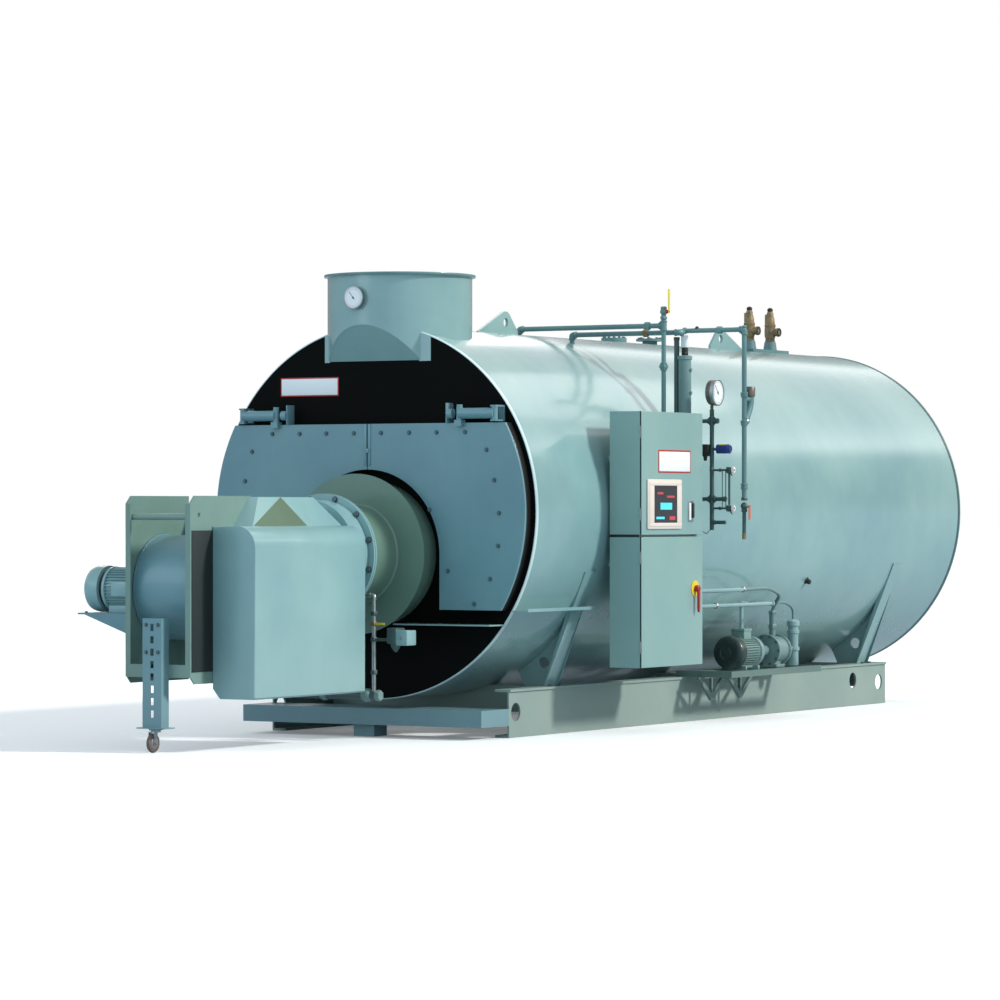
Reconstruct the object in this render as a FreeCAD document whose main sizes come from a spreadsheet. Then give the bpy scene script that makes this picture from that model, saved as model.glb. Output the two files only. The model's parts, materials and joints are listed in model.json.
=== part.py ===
"""Packaged fire-tube steam boiler on a skid, as a parametric FreeCAD document.

Millimetres.  X runs across the boiler (right as seen from the burner end), Y runs from the
burner end to the rear, Z is up.  The origin is on the floor, under the shell's centreline, in
the plane of the front plate's outer face.
"""
import FreeCAD, Part
import Sketcher
import os
import re
from FreeCAD import Placement, Rotation, Vector

# Driving dimensions: alias -> value in millimetres.
SIZES = {
    # shell
    "shell_radius": 1400, "shell_length": 7510, "shell_axis": 1672, "jacket_wall": 60,
    "end_plate": 12, "skin_gap": 0.3,
    # stack
    "stack_radius": 547, "stack_wall": 8, "stack_setback": 360, "stack_top": 3460,
    "stack_rim": 23, "rim_thick": 20, "socket_depth": 340, "socket_ledge": 12, "hood_foot": 2800, "hood_lip": 3070, "hood_thick": 8,
    "thermo_radius": 85, "thermo_depth": 35, "thermo_height": 3268, "thermo_offset": 43,
    # front tube doors and their davit arms
    "door_reach": 1360, "door_top": 2330, "door_bottom": 950, "door_thick": 100,
    "door_split": 4, "door_cutout": 630, "davit_pin": 12, "davit_barrel": 24,
    "davit_pivot": 1110, "davit_arm": 300, "davit_reach": 110, "davit_tube": 40,
    "davit_base": 2352, "davit_height": 94, "davit_lug": 12, "davit_fit": 0.08,
    # burner
    "burner_axis": 1360, "ring_radius": 597, "ring_thick": 12, "ring_front": 268,
    "drum_radius": 540, "neck_radius": 366, "flange_radius": 448, "flange_plate": 18,
    "flange_groove": 6, "flange_front": 715, "throat_radius": 400,
    "windbox_rear": 897, "windbox_base": 760, "windbox_top": 1700,
    # air inlet box
    "airbox_width": 360, "airbox_front": 2330, "airbox_rear": 900, "airbox_base": 367,
    "airbox_top": 1575, "airbox_round": 150, "hump_top": 1780, "hump_width": 70,
    "hump_front": 1880, "hump_rear": 1150, "hump_foot": 2070, "hump_base": 165,
    # fan
    "fan_left": 420, "fan_right": 130, "fan_front": 2600, "fan_rear": 1840,
    "fan_base": 476, "fan_top": 1787, "fan_sheet": 12, "fan_lip": 42, "fan_bevel": 55,
    "fan_sill": 90, "fan_tie": 22, "fan_tie_height": 1640, "scroll_radius": 370,
    "scroll_y": 2160, "scroll_z": 1140, "fan_hole": 16,
    "motor_radius": 150, "cowl_radius": 166, "motor_length": 590, "cowl_length": 140,
    "motor_axis": 1125, "motor_shelf": 955, "shelf_thick": 12, "shelf_reach": 620,
    "shelf_half": 160, "gusset_drop": 200,
    # support leg and caster
    "leg_x": 130, "leg_half": 80, "leg_depth": 90, "leg_sheet": 8, "leg_top": 935,
    "leg_base": 175, "foot_overhang": 40, "slot_width": 28, "slot_height": 50,
    "slot_pitch": 86, "slot_first": 245, "slot_count": 8,
    "wheel_radius": 68, "wheel_half": 16, "hub_half": 20, "fork_sheet": 6,
    "caster_trail": 32, "axle_radius": 8, "axle_fit": 0.08, "bearing_height": 156,
    "bearing_radius": 34,
    # skid
    "rail_outer": 1050, "rail_width": 120, "rail_height": 357, "rail_web": 14,
    "rail_flange": 18, "rail_lip": 12, "rail_front": 200, "rail_rear": 6700,
    "rail_hole": 68, "rail_hole_height": 188, "rail_hole_inset": 100,
    "cross_width": 120, "cross_height": 200,
    "platform_half": 1050, "platform_front": 200,
    "platform_base": 90, "platform_thick": 125, "platform_sheet": 12, "foot_half": 90,
    "foot_front": 150, "foot_back": 30,
    # saddles
    "saddle_front": 930, "saddle_rear": 6350, "saddle_web": 12, "saddle_strip": 170,
    "saddle_foot": 985, "saddle_toe": 758, "saddle_hole": 45, "strip_thick": 12,
    # cable trays
    "tray_outer": 1330, "tray_height": 938, "tray_sheet": 10, "tray_lip": 24,
    "shelf_height": 836, "shelf_depth": 220, "shelf_inner": 300, "shelf_outer": 1130,
    # lifting lugs
    "lug_thick": 25, "lug_hole": 36, "lug_front": 1505, "lug_rear": 5400, "lug_length": 600,
    "lug_rise": 180, "lug_eye": 415, "lug_eye_height": 92,
    # control cabinet
    "cab_back": 1420, "cab_face": 1672, "cab_front": 1070, "cab_rear": 2050,
    "cab_base": 500, "cab_top": 2430, "cab_sheet": 5, "cab_seam": 1492, "seam_half": 8,
    "seam_inset": 20, "cab_door": 18, "hinge_radius": 6, "hinge_out": 4, "hinge_length": 90,
    "hinge_inset": 110, "bracket_width": 50, "bracket_high": 2050, "bracket_low": 1260,
    "display_front": 1145, "display_rear": 1688, "display_base": 1542,
    "display_top": 1920, "display_depth": 24, "latch_y": 1851, "latch_z": 1676,
    "latch_half": 42, "latch_height": 80, "latch_depth": 26,
    "switch_y": 1925, "switch_z": 1085, "switch_plate": 62, "plate_thick": 8,
    "switch_hub": 26, "switch_standoff": 36, "switch_lever": 185, "lever_half": 12,
    # top nozzles and safety valves
    "pad_front": 6010, "pad_rear": 6700, "pad_half": 110, "pad_rise": 22,
    "valve_front": 6150, "valve_rear": 6550, "nozzle_radius": 50, "nozzle_top": 3170,
    "valve_body": 44, "valve_height": 290, "valve_bonnet": 34, "valve_cap": 20,
    "outlet_radius": 36, "outlet_bore": 25, "outlet_reach": 95, "outlet_rise": 85,
    "steam_y": 4320, "steam_flange": 115, "steam_bore": 50, "steam_pcd": 180,
    "steam_bolt": 8, "steam_top": 3120, "steam_plate": 20, "steam_neck": 62,
    "handhole_y": 3700, "handhole_radius": 105, "handhole_top": 3106,
    # level and pressure trim
    "trim_y": 2350, "riser_x": 1300, "riser_y": 2150, "riser_top": 3120,
    "riser_foot": 2260, "second_x": 420, "second_y": 2260, "second_top": 3070,
    "pipe_radius": 20, "elbow_radius": 28, "vent_height": 120, "vent_radius": 30,
    "stem_reach": 44, "stem_radius": 9, "lever_thick": 6, "lever_gap": 0.3,
    "vent_lever": 176, "drain_lever": 110,
    "column_x": 1380, "column_radius": 50, "column_base": 2090, "column_top": 2881,
    "header_top": 3085, "drain_x": 1900, "drain_foot": 1460, "drain_valve": 1718,
    "gauge_z": 2600, "gauge_radius": 105, "gauge_depth": 62, "manifold_x": 1618,
    "manifold_radius": 14, "manifold_base": 1531, "manifold_top": 2470,
    "cross_high": 2379, "cross_low": 1772, "glass_x": 1770, "glass_high": 1997,
    "glass_low": 1700, "glass_radius": 10,
    # pump set
    "pump_x": 1300, "pump_base": 340, "pump_front": 2930, "pump_rear": 4530,
    "pump_half": 190, "pump_beam": 50, "pump_axis": 545, "pump_motor_radius": 135,
    "pump_motor_front": 3220, "pump_motor_length": 430, "pump_cowl": 90,
    "head_front": 3900, "head_length": 240, "head_radius": 110, "filter_y": 4400,
    "filter_radius": 42, "filter_top": 790, "brace_first": 3110, "brace_second": 3610,
    "brace_x": 1200, "brace_half": 225,
    "brace_drop": 190, "brace_bar": 24, "conduit_radius": 18, "conduit_x": 1520,
    "conduit_high": 1055, "conduit_low": 935,
    # gas train
    "gas_y": 600, "gas_x": 374, "gas_run": 330, "gas_top": 1060, "gas_pipe": 16,
    "gas_main": 36, "gas_left": 300, "actuator_x": 520, "actuator_base": 650,
    "actuator_size": 180,
}

doc = FreeCAD.newDocument("Boiler")
sheet = doc.addObject("Spreadsheet::Sheet", "Sizes")
for row, (alias, value) in enumerate(SIZES.items(), start=1):
    sheet.set(f"A{row}", alias)
    sheet.set(f"B{row}", str(value))
    sheet.setAlias(f"B{row}", alias)
doc.recompute()

ALONG = {"X": Rotation(Vector(0, 1, 0), 90), "Y": Rotation(Vector(1, 0, 0), -90),
         "Z": Rotation()}
ASKEW = Rotation(Vector(0, 0, 1), Vector(1, 1, 1)).multiply(Rotation(Vector(0, 0, 1), 33))
PARTS = []


def formula(text):
    """Turn plain size names in text into references to the sheet's cells."""
    def cell(match):
        word = match.group()
        return f"Sizes.{word}" if word in SIZES else word
    return re.sub(r"[a-z][a-z_]*", cell, str(text))


def bind(thing, **sizes):
    """Bind each named property of thing to a formula."""
    for name, text in sizes.items():
        thing.setExpression(name, formula(text))
    return thing


def put(thing, x, y, z):
    """Bind the place of thing to three formulas."""
    for axis, text in zip("xyz", (x, y, z)):
        thing.setExpression(f"Placement.Base.{axis}", formula(text))
    return thing


def box(x, y, z):
    """A box between pairs of formulas, each pair the low and the high side."""
    block = doc.addObject("Part::Box", "block")
    bind(block, Length=f"({x[1]}) - ({x[0]})", Width=f"({y[1]}) - ({y[0]})",
         Height=f"({z[1]}) - ({z[0]})")
    return put(block, x[0], y[0], z[0])


def rod(axis, start, length, radius):
    """A cylinder that starts at a point and runs up one axis."""
    bar = doc.addObject("Part::Cylinder", "rod")
    bar.Placement = Placement(Vector(), ALONG[axis])
    bind(bar, Radius=radius, Height=length)
    return put(bar, *start)


def ball(centre, radius):
    """A sphere, turned so that its seam meets no pipe head on."""
    knob = doc.addObject("Part::Sphere", "ball")
    knob.Placement = Placement(Vector(), ASKEW)
    bind(knob, Radius=radius)
    return put(knob, *centre)


def cone(start, length, low, high):
    """An upright cone frustum."""
    taper = doc.addObject("Part::Cone", "cone")
    bind(taper, Radius1=low, Radius2=high, Height=length)
    return put(taper, *start)


def fuse(*things):
    """One shape of all things."""
    joined = doc.addObject("Part::MultiFuse", "joined")
    joined.Shapes = list(things)
    return joined


def cut(base, *tools):
    """Base without the tools."""
    result = doc.addObject("Part::Cut", "trimmed")
    result.Base = base
    result.Tool = tools[0] if len(tools) == 1 else fuse(*tools)
    return result


def overlap(base, tool):
    """What two shapes share."""
    result = doc.addObject("Part::Common", "shared")
    result.Base = base
    result.Tool = tool
    return result


def prism(plane, outline, start, length, holes=()):
    """Pad an outline on XY, XZ or YZ from start by length along the third axis."""
    body = doc.addObject("PartDesign::Body", "prism")
    role = f"{plane}_Plane"
    base = next(item for item in body.Origin.OriginFeatures if item.Role == role)
    sketch = body.newObject("Sketcher::SketchObject", "outline")
    sketch.AttachmentSupport = (base, [""])
    sketch.MapMode = "FlatFace"
    count = len(outline)
    seeds = [Rotation(Vector(0, 0, 1), 360 / count * i).multVec(Vector(100, 0, 0))
             for i in range(count)]
    for i in range(count):
        sketch.addGeometry(Part.LineSegment(seeds[i], seeds[(i + 1) % count]))
    for i in range(count):
        sketch.addConstraint(Sketcher.Constraint("Coincident", i, 2, (i + 1) % count, 1))
    for i, point in enumerate(outline):
        for kind, value, text in zip(("DistanceX", "DistanceY"), seeds[i], point):
            index = sketch.addConstraint(Sketcher.Constraint(kind, -1, 1, i, 1, value))
            sketch.setExpression(f"Constraints[{index}]", formula(text))
    for across, up, radius in holes:
        ring = sketch.addGeometry(Part.Circle(Vector(10, 10, 0), Vector(0, 0, 1), 5))
        for kind, value, text in (("DistanceX", 10, across), ("DistanceY", 10, up)):
            index = sketch.addConstraint(Sketcher.Constraint(kind, -1, 1, ring, 3, value))
            sketch.setExpression(f"Constraints[{index}]", formula(text))
        index = sketch.addConstraint(Sketcher.Constraint("Radius", ring, 5))
        sketch.setExpression(f"Constraints[{index}]", formula(radius))
    pad = body.newObject("PartDesign::Pad", "pad")
    pad.Profile = sketch
    pad.Reversed = plane == "XZ"
    bind(pad, Length=length)
    body.Tip = pad
    third = {"XY": "z", "XZ": "y", "YZ": "x"}[plane]
    body.setExpression(f"Placement.Base.{third}", formula(start))
    return body


def run(points, radius, elbow=None):
    """Square pipe run through points, with a round elbow at each turn."""
    pieces = []
    for a, b in zip(points, points[1:]):
        axis = next(i for i in range(3) if a[i] != b[i])
        start = list(a)
        start[axis] = f"min({a[axis]}; {b[axis]})"
        pieces.append(rod("XYZ"[axis], start, f"abs(({b[axis]}) - ({a[axis]}))", radius))
    pieces += [ball(point, elbow or "elbow_radius") for point in points[1:-1]]
    return fuse(*pieces) if len(pieces) > 1 else pieces[0]


def shell_solid():
    """The jacket's outer cylinder with the skin gap, to trim what sits on it."""
    return rod("Y", ("0", "-skin_gap", "shell_axis"), "shell_length + 2 * skin_gap",
               "shell_radius + skin_gap")


def part(label, thing):
    """Keep thing as the sub-part called label."""
    thing.Label = label
    PARTS.append(thing)
    return thing


# ---------------------------------------------------------------- shell and ends
def shell():
    """Jacket tube with a front and a rear plate."""
    low, span = "end_plate", "shell_length - 2 * end_plate"
    tube = cut(rod("Y", ("0", low, "shell_axis"), span, "shell_radius"),
               rod("Y", ("0", low, "shell_axis"), span, "shell_radius - jacket_wall"))
    flue = rod("Z", ("0", "stack_setback", "hood_foot + 4"), "stack_top - hood_foot",
               "stack_radius - stack_wall")
    part("shell_jacket", cut(tube, flue))
    front = rod("Y", ("0", "0", "shell_axis"), "end_plate", "shell_radius")
    part("front_plate", cut(front, flue))
    part("rear_plate", rod("Y", ("0", "shell_length - end_plate", "shell_axis"), "end_plate",
                           "shell_radius + 4"))


def stack():
    """Round outlet collar that stands through the front of the shell's top."""
    foot = "hood_foot - 200"
    centre = ("0", "stack_setback", foot)
    tall = f"stack_top - ({foot})"
    tube = cut(rod("Z", centre, tall, "stack_radius"),
               rod("Z", centre, tall, "stack_radius - stack_wall"))
    rim_low = "stack_top - rim_thick"
    rim = cut(rod("Z", ("0", "stack_setback", rim_low), "rim_thick",
                  "stack_radius + stack_rim"),
              rod("Z", ("0", "stack_setback", rim_low), "rim_thick",
                  "stack_radius - stack_wall / 2"))
    seat_low = "stack_top - socket_depth - 12"
    ledge = cut(rod("Z", ("0", "stack_setback", seat_low), "12", "stack_radius - stack_wall / 2"),
                rod("Z", ("0", "stack_setback", seat_low), "12",
                    "stack_radius - stack_wall - socket_ledge"))
    nose = "stack_radius - stack_setback"
    slope = f"(hood_lip - hood_foot) / ({nose})"
    ahead = f"-({nose})"

    def slant(y, lift):
        return f"hood_foot - ({y}) * {slope} + {lift}"

    far = f"{ahead} - 60"
    below = prism("YZ", [(far, "hood_foot - 300"), ("40", "hood_foot - 300"),
                         ("40", slant("40", "0")), (far, slant(far, "0"))],
                  "-stack_radius - 10", "2 * stack_radius + 20")
    sheet_low = prism("YZ", [(far, slant(far, "3")), ("20", slant("20", "3")),
                             ("20", slant("20", "3 + hood_thick")),
                             (far, slant(far, "3 + hood_thick"))],
                      "-stack_radius", "2 * stack_radius")
    hood = overlap(sheet_low, rod("Z", centre, tall, "stack_radius - stack_wall / 2"))
    part("stack_collar", cut(fuse(cut(fuse(tube, rim, ledge), below), hood), shell_solid()))


def stack_dial():
    """Dial thermometer on the front of the stack."""
    face = "stack_radius - stack_setback + 12"
    across = "-thermo_offset"
    head = rod("Y", (across, f"-({face}) - thermo_depth", "thermo_height"), "thermo_depth",
               "thermo_radius")
    stem = rod("Y", (across, f"-({face})", "thermo_height"), "30", "18")
    wall = rod("Z", ("0", "stack_setback", "thermo_height - 100"), "200",
               "stack_radius + skin_gap")
    part("stack_thermometer", cut(fuse(head, stem), wall))


# ---------------------------------------------------------------- tube doors
def tube_door(side, sign):
    """Half door with its round cut-out for the burner and its davit stud."""
    inner, outer = ("door_split", "door_reach") if sign > 0 else ("-door_reach", "-door_split")
    slab = box((inner, outer), ("-door_thick", "-skin_gap"), ("door_bottom", "door_top"))
    disc = rod("Y", ("0", "-door_thick - 10", "shell_axis"), "door_thick + 20", "door_reach")
    hole = rod("Y", ("0", "-door_thick - 10", "burner_axis"), "door_thick + 20",
               "door_cutout")
    notch = box(("-door_cutout", "door_cutout"), ("-door_thick - 10", "10"),
                ("door_bottom - 10", "burner_axis"))
    stud_x = f"{sign} * (davit_pivot - davit_arm)"
    shoe = box((f"{stud_x} - 30", f"{stud_x} + 30"), ("-davit_reach - 30", "-60"),
               ("door_top - 25", "davit_base - davit_fit * 4"))
    stud_base = ("davit_base - 10")
    stud = rod("Z", (stud_x, "-davit_reach", stud_base), "davit_height + 20", "davit_pin")
    nut = rod("Z", (stud_x, "-davit_reach", "davit_base + davit_height + skin_gap"), "18",
              "davit_barrel - 2")
    part(f"front_door_{side}", fuse(cut(overlap(slab, disc), hole, notch), shoe, stud, nut))


def davit_arm(side, sign):
    """Swinging tube between the fixed pin and the door's stud."""
    outer = f"{sign} * davit_pivot"
    inner = f"{sign} * (davit_pivot - davit_arm)"
    middle = "davit_base + davit_height / 2"
    tube = rod("X", (f"min({outer}; {inner})", "-davit_reach", middle), "davit_arm",
               "davit_tube")
    eyes = [rod("Z", (x, "-davit_reach", "davit_base"), "davit_height", "davit_barrel")
            for x in (outer, inner)]
    bores = [rod("Z", (x, "-davit_reach", "davit_base - 5"), "davit_height + 10",
                 "davit_pin + davit_fit") for x in (outer, inner)]
    part(f"davit_arm_{side}", cut(fuse(tube, *eyes), *bores))


def davit_brackets():
    """Fixed lugs and pins on the front plate that carry the two arms."""
    pieces = []
    for sign in (1, -1):
        x = f"{sign} * davit_pivot"
        for low in ("davit_base - davit_lug - skin_gap",
                    "davit_base + davit_height + skin_gap"):
            pieces.append(box((f"{x} - davit_barrel", f"{x} + davit_barrel"),
                              ("-davit_reach - davit_barrel", "0"),
                              (low, f"{low} + davit_lug")))
        pieces.append(rod("Z", (x, "-davit_reach", "davit_base - davit_lug"),
                          "davit_height + 2 * davit_lug", "davit_pin"))
        pieces.append(box((f"{x} - davit_barrel", f"{x} + davit_barrel"), ("-14", "0"),
                          ("davit_base - davit_lug - skin_gap",
                           "davit_base + davit_height + davit_lug")))
    return part("davit_brackets", fuse(*pieces))


# ---------------------------------------------------------------- burner
def burner():
    """Mounting ring, neck, flange pair, windbox and air inlet box."""
    ring = fuse(rod("Y", ("0", "-ring_front", "burner_axis"), "ring_thick", "ring_radius"),
                rod("Y", ("0", "-ring_front + ring_thick", "burner_axis"),
                    "ring_front - ring_thick", "drum_radius"))
    part("burner_ring", ring)
    flange_back = "-flange_front + 2 * flange_plate + flange_groove"
    part("burner_neck", rod("Y", ("0", flange_back, "burner_axis"),
                            f"-ring_front - ({flange_back})", "neck_radius"))
    plates = [rod("Y", ("0", low, "burner_axis"), "flange_plate", "flange_radius")
              for low in ("-flange_front", "-flange_front + flange_plate + flange_groove")]
    groove = rod("Y", ("0", "-flange_front", "burner_axis"), "2 * flange_plate",
                 "flange_radius - 22")
    part("burner_flange", fuse(*plates, groove))
    throat = rod("Y", ("0", "-windbox_rear", "burner_axis"), "windbox_rear - flange_front",
                 "throat_radius")
    case = box(("-fan_left", "fan_right"), ("-fan_rear", "-windbox_rear"),
               ("windbox_base", "windbox_top"))
    part("burner_windbox", fuse(throat, case))


def air_box():
    """Fan inlet silencer with a rounded shoulder and a hipped hump on top."""
    left, right = "fan_right", "fan_right + airbox_width"
    tall = box((left, f"{right} - airbox_round"), ("-airbox_front", "-airbox_rear"),
               ("airbox_base", "airbox_top"))
    side = box((left, right), ("-airbox_front", "-airbox_rear"),
               ("airbox_base", "airbox_top - airbox_round"))
    shoulder = rod("Y", (f"{right} - airbox_round", "-airbox_front",
                         "airbox_top - airbox_round"), "airbox_front - airbox_rear",
                   "airbox_round")
    hump = doc.addObject("Part::Wedge", "hump")
    hump.Placement = Placement(Vector(), Rotation(Vector(1, 0, 0), 90))
    bind(hump, Xmin="0", Xmax="hump_base", X2min="0",
         X2max="hump_width", Ymin="0", Ymax="hump_top - airbox_top + 10",
         Zmin="airbox_rear", Zmax="hump_foot", Z2min="hump_rear", Z2max="hump_front")
    put(hump, left, "0", "airbox_top - 10")
    part("air_box", fuse(tall, side, shoulder, hump))


# ---------------------------------------------------------------- fan
def fan():
    """Two cheek plates with front lips, tied by a tube and a sill, round the scroll."""
    cheek = [("-fan_front + fan_bevel", "fan_base"), ("-fan_rear", "fan_base"),
             ("-fan_rear", "fan_top"), ("-fan_front + fan_bevel", "fan_top"),
             ("-fan_front", "fan_top - fan_bevel"), ("-fan_front", "fan_base + fan_bevel")]
    hole = [("-fan_front + 108", "fan_top - 134", "fan_hole")]
    lip_z = ("fan_base + fan_bevel", "fan_top - fan_bevel")
    lip_y = ("-fan_front", "-fan_front + fan_sheet")
    pieces = [prism("YZ", cheek, "-fan_left", "fan_sheet"),
              prism("YZ", cheek, "fan_right - fan_sheet", "fan_sheet", hole),
              box(("-fan_left", "-fan_left + fan_lip"), lip_y, lip_z),
              box(("fan_right - fan_lip", "fan_right"), lip_y, lip_z),
              rod("X", ("-fan_left", "-fan_front + 40", "fan_tie_height"),
                  "fan_left + fan_right", "fan_tie"),
              box(("-fan_left", "fan_right"), ("-fan_front", "-fan_front + 40"),
                  ("fan_base + fan_bevel - 10", "fan_base + fan_bevel + fan_sill - 10"))]
    part("fan_frame", fuse(*pieces))
    left, wide = "-fan_left + fan_sheet", "fan_left + fan_right - 2 * fan_sheet"
    drum = rod("X", (left, "-scroll_y", "scroll_z"), wide, "scroll_radius")
    outlet = box((left, f"({left}) + ({wide})"), ("-scroll_y", "-fan_rear"),
                 ("scroll_z", "scroll_z + scroll_radius"))
    beyond = box((f"{left} - 5", "fan_right"), ("-fan_rear", "-fan_rear + scroll_radius"),
                 ("scroll_z - scroll_radius - 5", "scroll_z + scroll_radius + 5"))
    part("fan_scroll", cut(fuse(drum, outlet), beyond))


def fan_motor():
    """Motor on the left cheek with its cowl, on a gusseted shelf."""
    end = "-fan_left - motor_length"
    body_start = f"({end}) + cowl_length"
    cowl = rod("X", (end, "-scroll_y", "motor_axis"), "cowl_length", "cowl_radius")
    body = rod("X", (body_start, "-scroll_y", "motor_axis"),
               "motor_length - cowl_length", "motor_radius")
    base = box((f"{body_start} + 60", "-fan_left - 90"), ("-scroll_y - 110", "-scroll_y + 110"),
               ("motor_shelf", "motor_axis - 80"))
    part("fan_motor", fuse(cowl, body, base))
    reach = "-fan_left - shelf_reach"
    low = "motor_shelf - shelf_thick"
    plate = box((reach, "-fan_left"), ("-scroll_y - shelf_half", "-scroll_y + shelf_half"),
                (low, "motor_shelf"))
    outline = [(f"{reach} + 60", low), ("-fan_left", f"{low} - gusset_drop"),
               ("-fan_left", low)]
    window = [("-fan_left - 110", f"{low} - 50", "26")]
    gussets = [prism("XZ", outline, start, "shelf_thick", window)
               for start in ("-scroll_y - shelf_half",
                             "-scroll_y + shelf_half - shelf_thick")]
    part("motor_shelf_bracket", fuse(plate, *gussets))


def support_leg():
    """Slotted channel leg under the fan's front, with its foot plate."""
    front = "-fan_front - leg_depth"
    x = ("-leg_x - leg_half", "-leg_x + leg_half")
    z = ("leg_base", "leg_top")
    pieces = [box(x, (front, f"{front} + leg_sheet"), z),
              box((x[0], f"{x[0]} + leg_sheet"), (front, "-fan_front"), z),
              box((f"{x[1]} - leg_sheet", x[1]), (front, "-fan_front"), z),
              box((f"{x[0]} - foot_overhang", f"{x[1]} + foot_overhang"),
                  (f"{front} - 20", "-fan_front + 20"), ("leg_base - leg_sheet", "leg_base")),
              rod("Z", ("-leg_x", caster_y(), "bearing_height"),
                  "leg_base - leg_sheet - bearing_height", "bearing_radius + 14")]
    slots = []
    for i in range(SIZES["slot_count"]):
        low = f"slot_first + {i} * slot_pitch"
        slots.append(box(("-leg_x - slot_width / 2", "-leg_x + slot_width / 2"),
                         (f"{front} - 5", f"{front} + leg_sheet + 5"),
                         (low, f"{low} + slot_height")))
    part("support_leg", cut(fuse(*pieces), *slots))


def caster_y():
    """The swivel axis of the caster, under the middle of the leg."""
    return "-fan_front - leg_depth / 2"


def caster():
    """Swivel fork with a trailing wheel."""
    swivel = ("-leg_x", caster_y())
    axle_y = f"{swivel[1]} - caster_trail"
    deck = "2 * wheel_radius + 5"
    half = "hub_half + skin_gap + fork_sheet"
    crown = rod("Z", (*swivel, f"{deck} + fork_sheet"),
                f"bearing_height - skin_gap - ({deck} + fork_sheet)", "bearing_radius")
    bridge = box((f"-leg_x - ({half})", f"-leg_x + {half}"),
                 (f"{axle_y} - 22", f"{swivel[1]} + 30"), (deck, f"{deck} + fork_sheet"))
    arms = []
    for low in (f"-leg_x - ({half})", f"-leg_x + {half} - fork_sheet"):
        arms.append(box((low, f"{low} + fork_sheet"), (f"{axle_y} - 20", f"{axle_y} + 20"),
                        ("wheel_radius - 18", f"{deck} + fork_sheet")))
    axle = rod("X", (f"-leg_x - ({half})", axle_y, "wheel_radius"), f"2 * ({half})",
               "axle_radius")
    part("caster_fork", fuse(crown, bridge, *arms, axle))
    tyre = rod("X", ("-leg_x - wheel_half", axle_y, "wheel_radius"), "2 * wheel_half",
               "wheel_radius")
    hub = rod("X", ("-leg_x - hub_half", axle_y, "wheel_radius"), "2 * hub_half", "22")
    bore = rod("X", ("-leg_x - hub_half - 2", axle_y, "wheel_radius"), "2 * hub_half + 4",
               "axle_radius + axle_fit")
    part("caster_wheel", cut(fuse(tyre, hub), bore))


# ---------------------------------------------------------------- skid
def rail(side, sign):
    """Channel rail with its web outside, a lip over the web and lifting holes."""
    outer, inner = "rail_outer", "rail_outer - rail_width"
    top, shelf = "rail_height", "rail_height - rail_flange"
    outline = [(inner, "0"), (outer, "0"), (outer, shelf), (f"{outer} + rail_lip", shelf),
               (f"{outer} + rail_lip", top), (inner, top), (inner, shelf),
               (f"{outer} - rail_web", shelf), (f"{outer} - rail_web", "rail_flange"),
               (inner, "rail_flange")]
    outline = [(f"{sign} * ({x})", z) for x, z in outline]
    beam = prism("XZ", outline, "rail_front", "rail_rear - rail_front")
    start = f"{outer} - rail_web - 10" if sign > 0 else f"-({outer}) - 10"
    holes = [rod("X", (start, y, z), "rail_web + 20", "rail_hole")
             for y, z in (("rail_front + rail_hole_inset", "rail_hole_height"),
                          ("rail_rear - rail_hole_inset - 35", "rail_hole_height"),
                          ("saddle_rear - 300", "rail_hole_height + 30"))]
    part(f"base_rail_{side}", cut(beam, *holes))


def skid():
    """Cross members, and the front platform with its foot."""
    inner = "rail_outer - rail_width"
    bars = [box((f"-({inner})", inner), (f"{y} - cross_width / 2", f"{y} + cross_width / 2"),
                ("rail_height - cross_height", "rail_height"))
            for y in ("saddle_front", "(saddle_front + saddle_rear) / 2", "saddle_rear")]
    part("cross_members", cut(fuse(*bars), shell_solid()))
    x = ("-platform_half", "platform_half")
    y = ("-platform_front", "rail_front")
    z = ("platform_base", "platform_base + platform_thick")
    slab = box(x, y, z)
    hollow = box((f"{x[0]} + platform_sheet", f"{x[1]} - platform_sheet"),
                 (f"{y[0]} + platform_sheet", f"{y[1]} - platform_sheet"),
                 (f"{z[0]} - 5", f"{z[1]} - platform_sheet"))
    foot = box(("-foot_half", "foot_half"), ("-foot_front", "foot_back"),
               ("0", f"{z[1]} - platform_sheet"))
    part("front_platform", fuse(cut(slab, hollow), foot))


def saddle(name, place):
    """A pair of gussets with sloping face strips between the shell and the rails."""
    pieces = []
    for sign in (1, -1):
        web = [("620", "660"), ("662", "566"), ("saddle_toe", "rail_height"),
               ("saddle_foot - 4", "rail_height"), ("saddle_foot + 345", "rail_height + 868"),
               ("1150", "1250")]
        web = [(f"{sign} * ({x})", z) for x, z in web]
        eye = [(f"{sign} * (saddle_foot - 55)", "rail_height + 173", "saddle_hole")]
        pieces.append(prism("XZ", web, f"{place} - saddle_web / 2", "saddle_web", eye))
        strip = [("saddle_foot - strip_thick", "rail_height"), ("saddle_foot", "rail_height"),
                 ("saddle_foot + 355", "rail_height + 868"),
                 ("saddle_foot + 300", "rail_height + 868")]
        strip = [(f"{sign} * ({x})", z) for x, z in strip]
        pieces.append(prism("XZ", strip, f"{place} - saddle_strip / 2", "saddle_strip"))
    part(name, cut(fuse(*pieces), shell_solid()))


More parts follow.
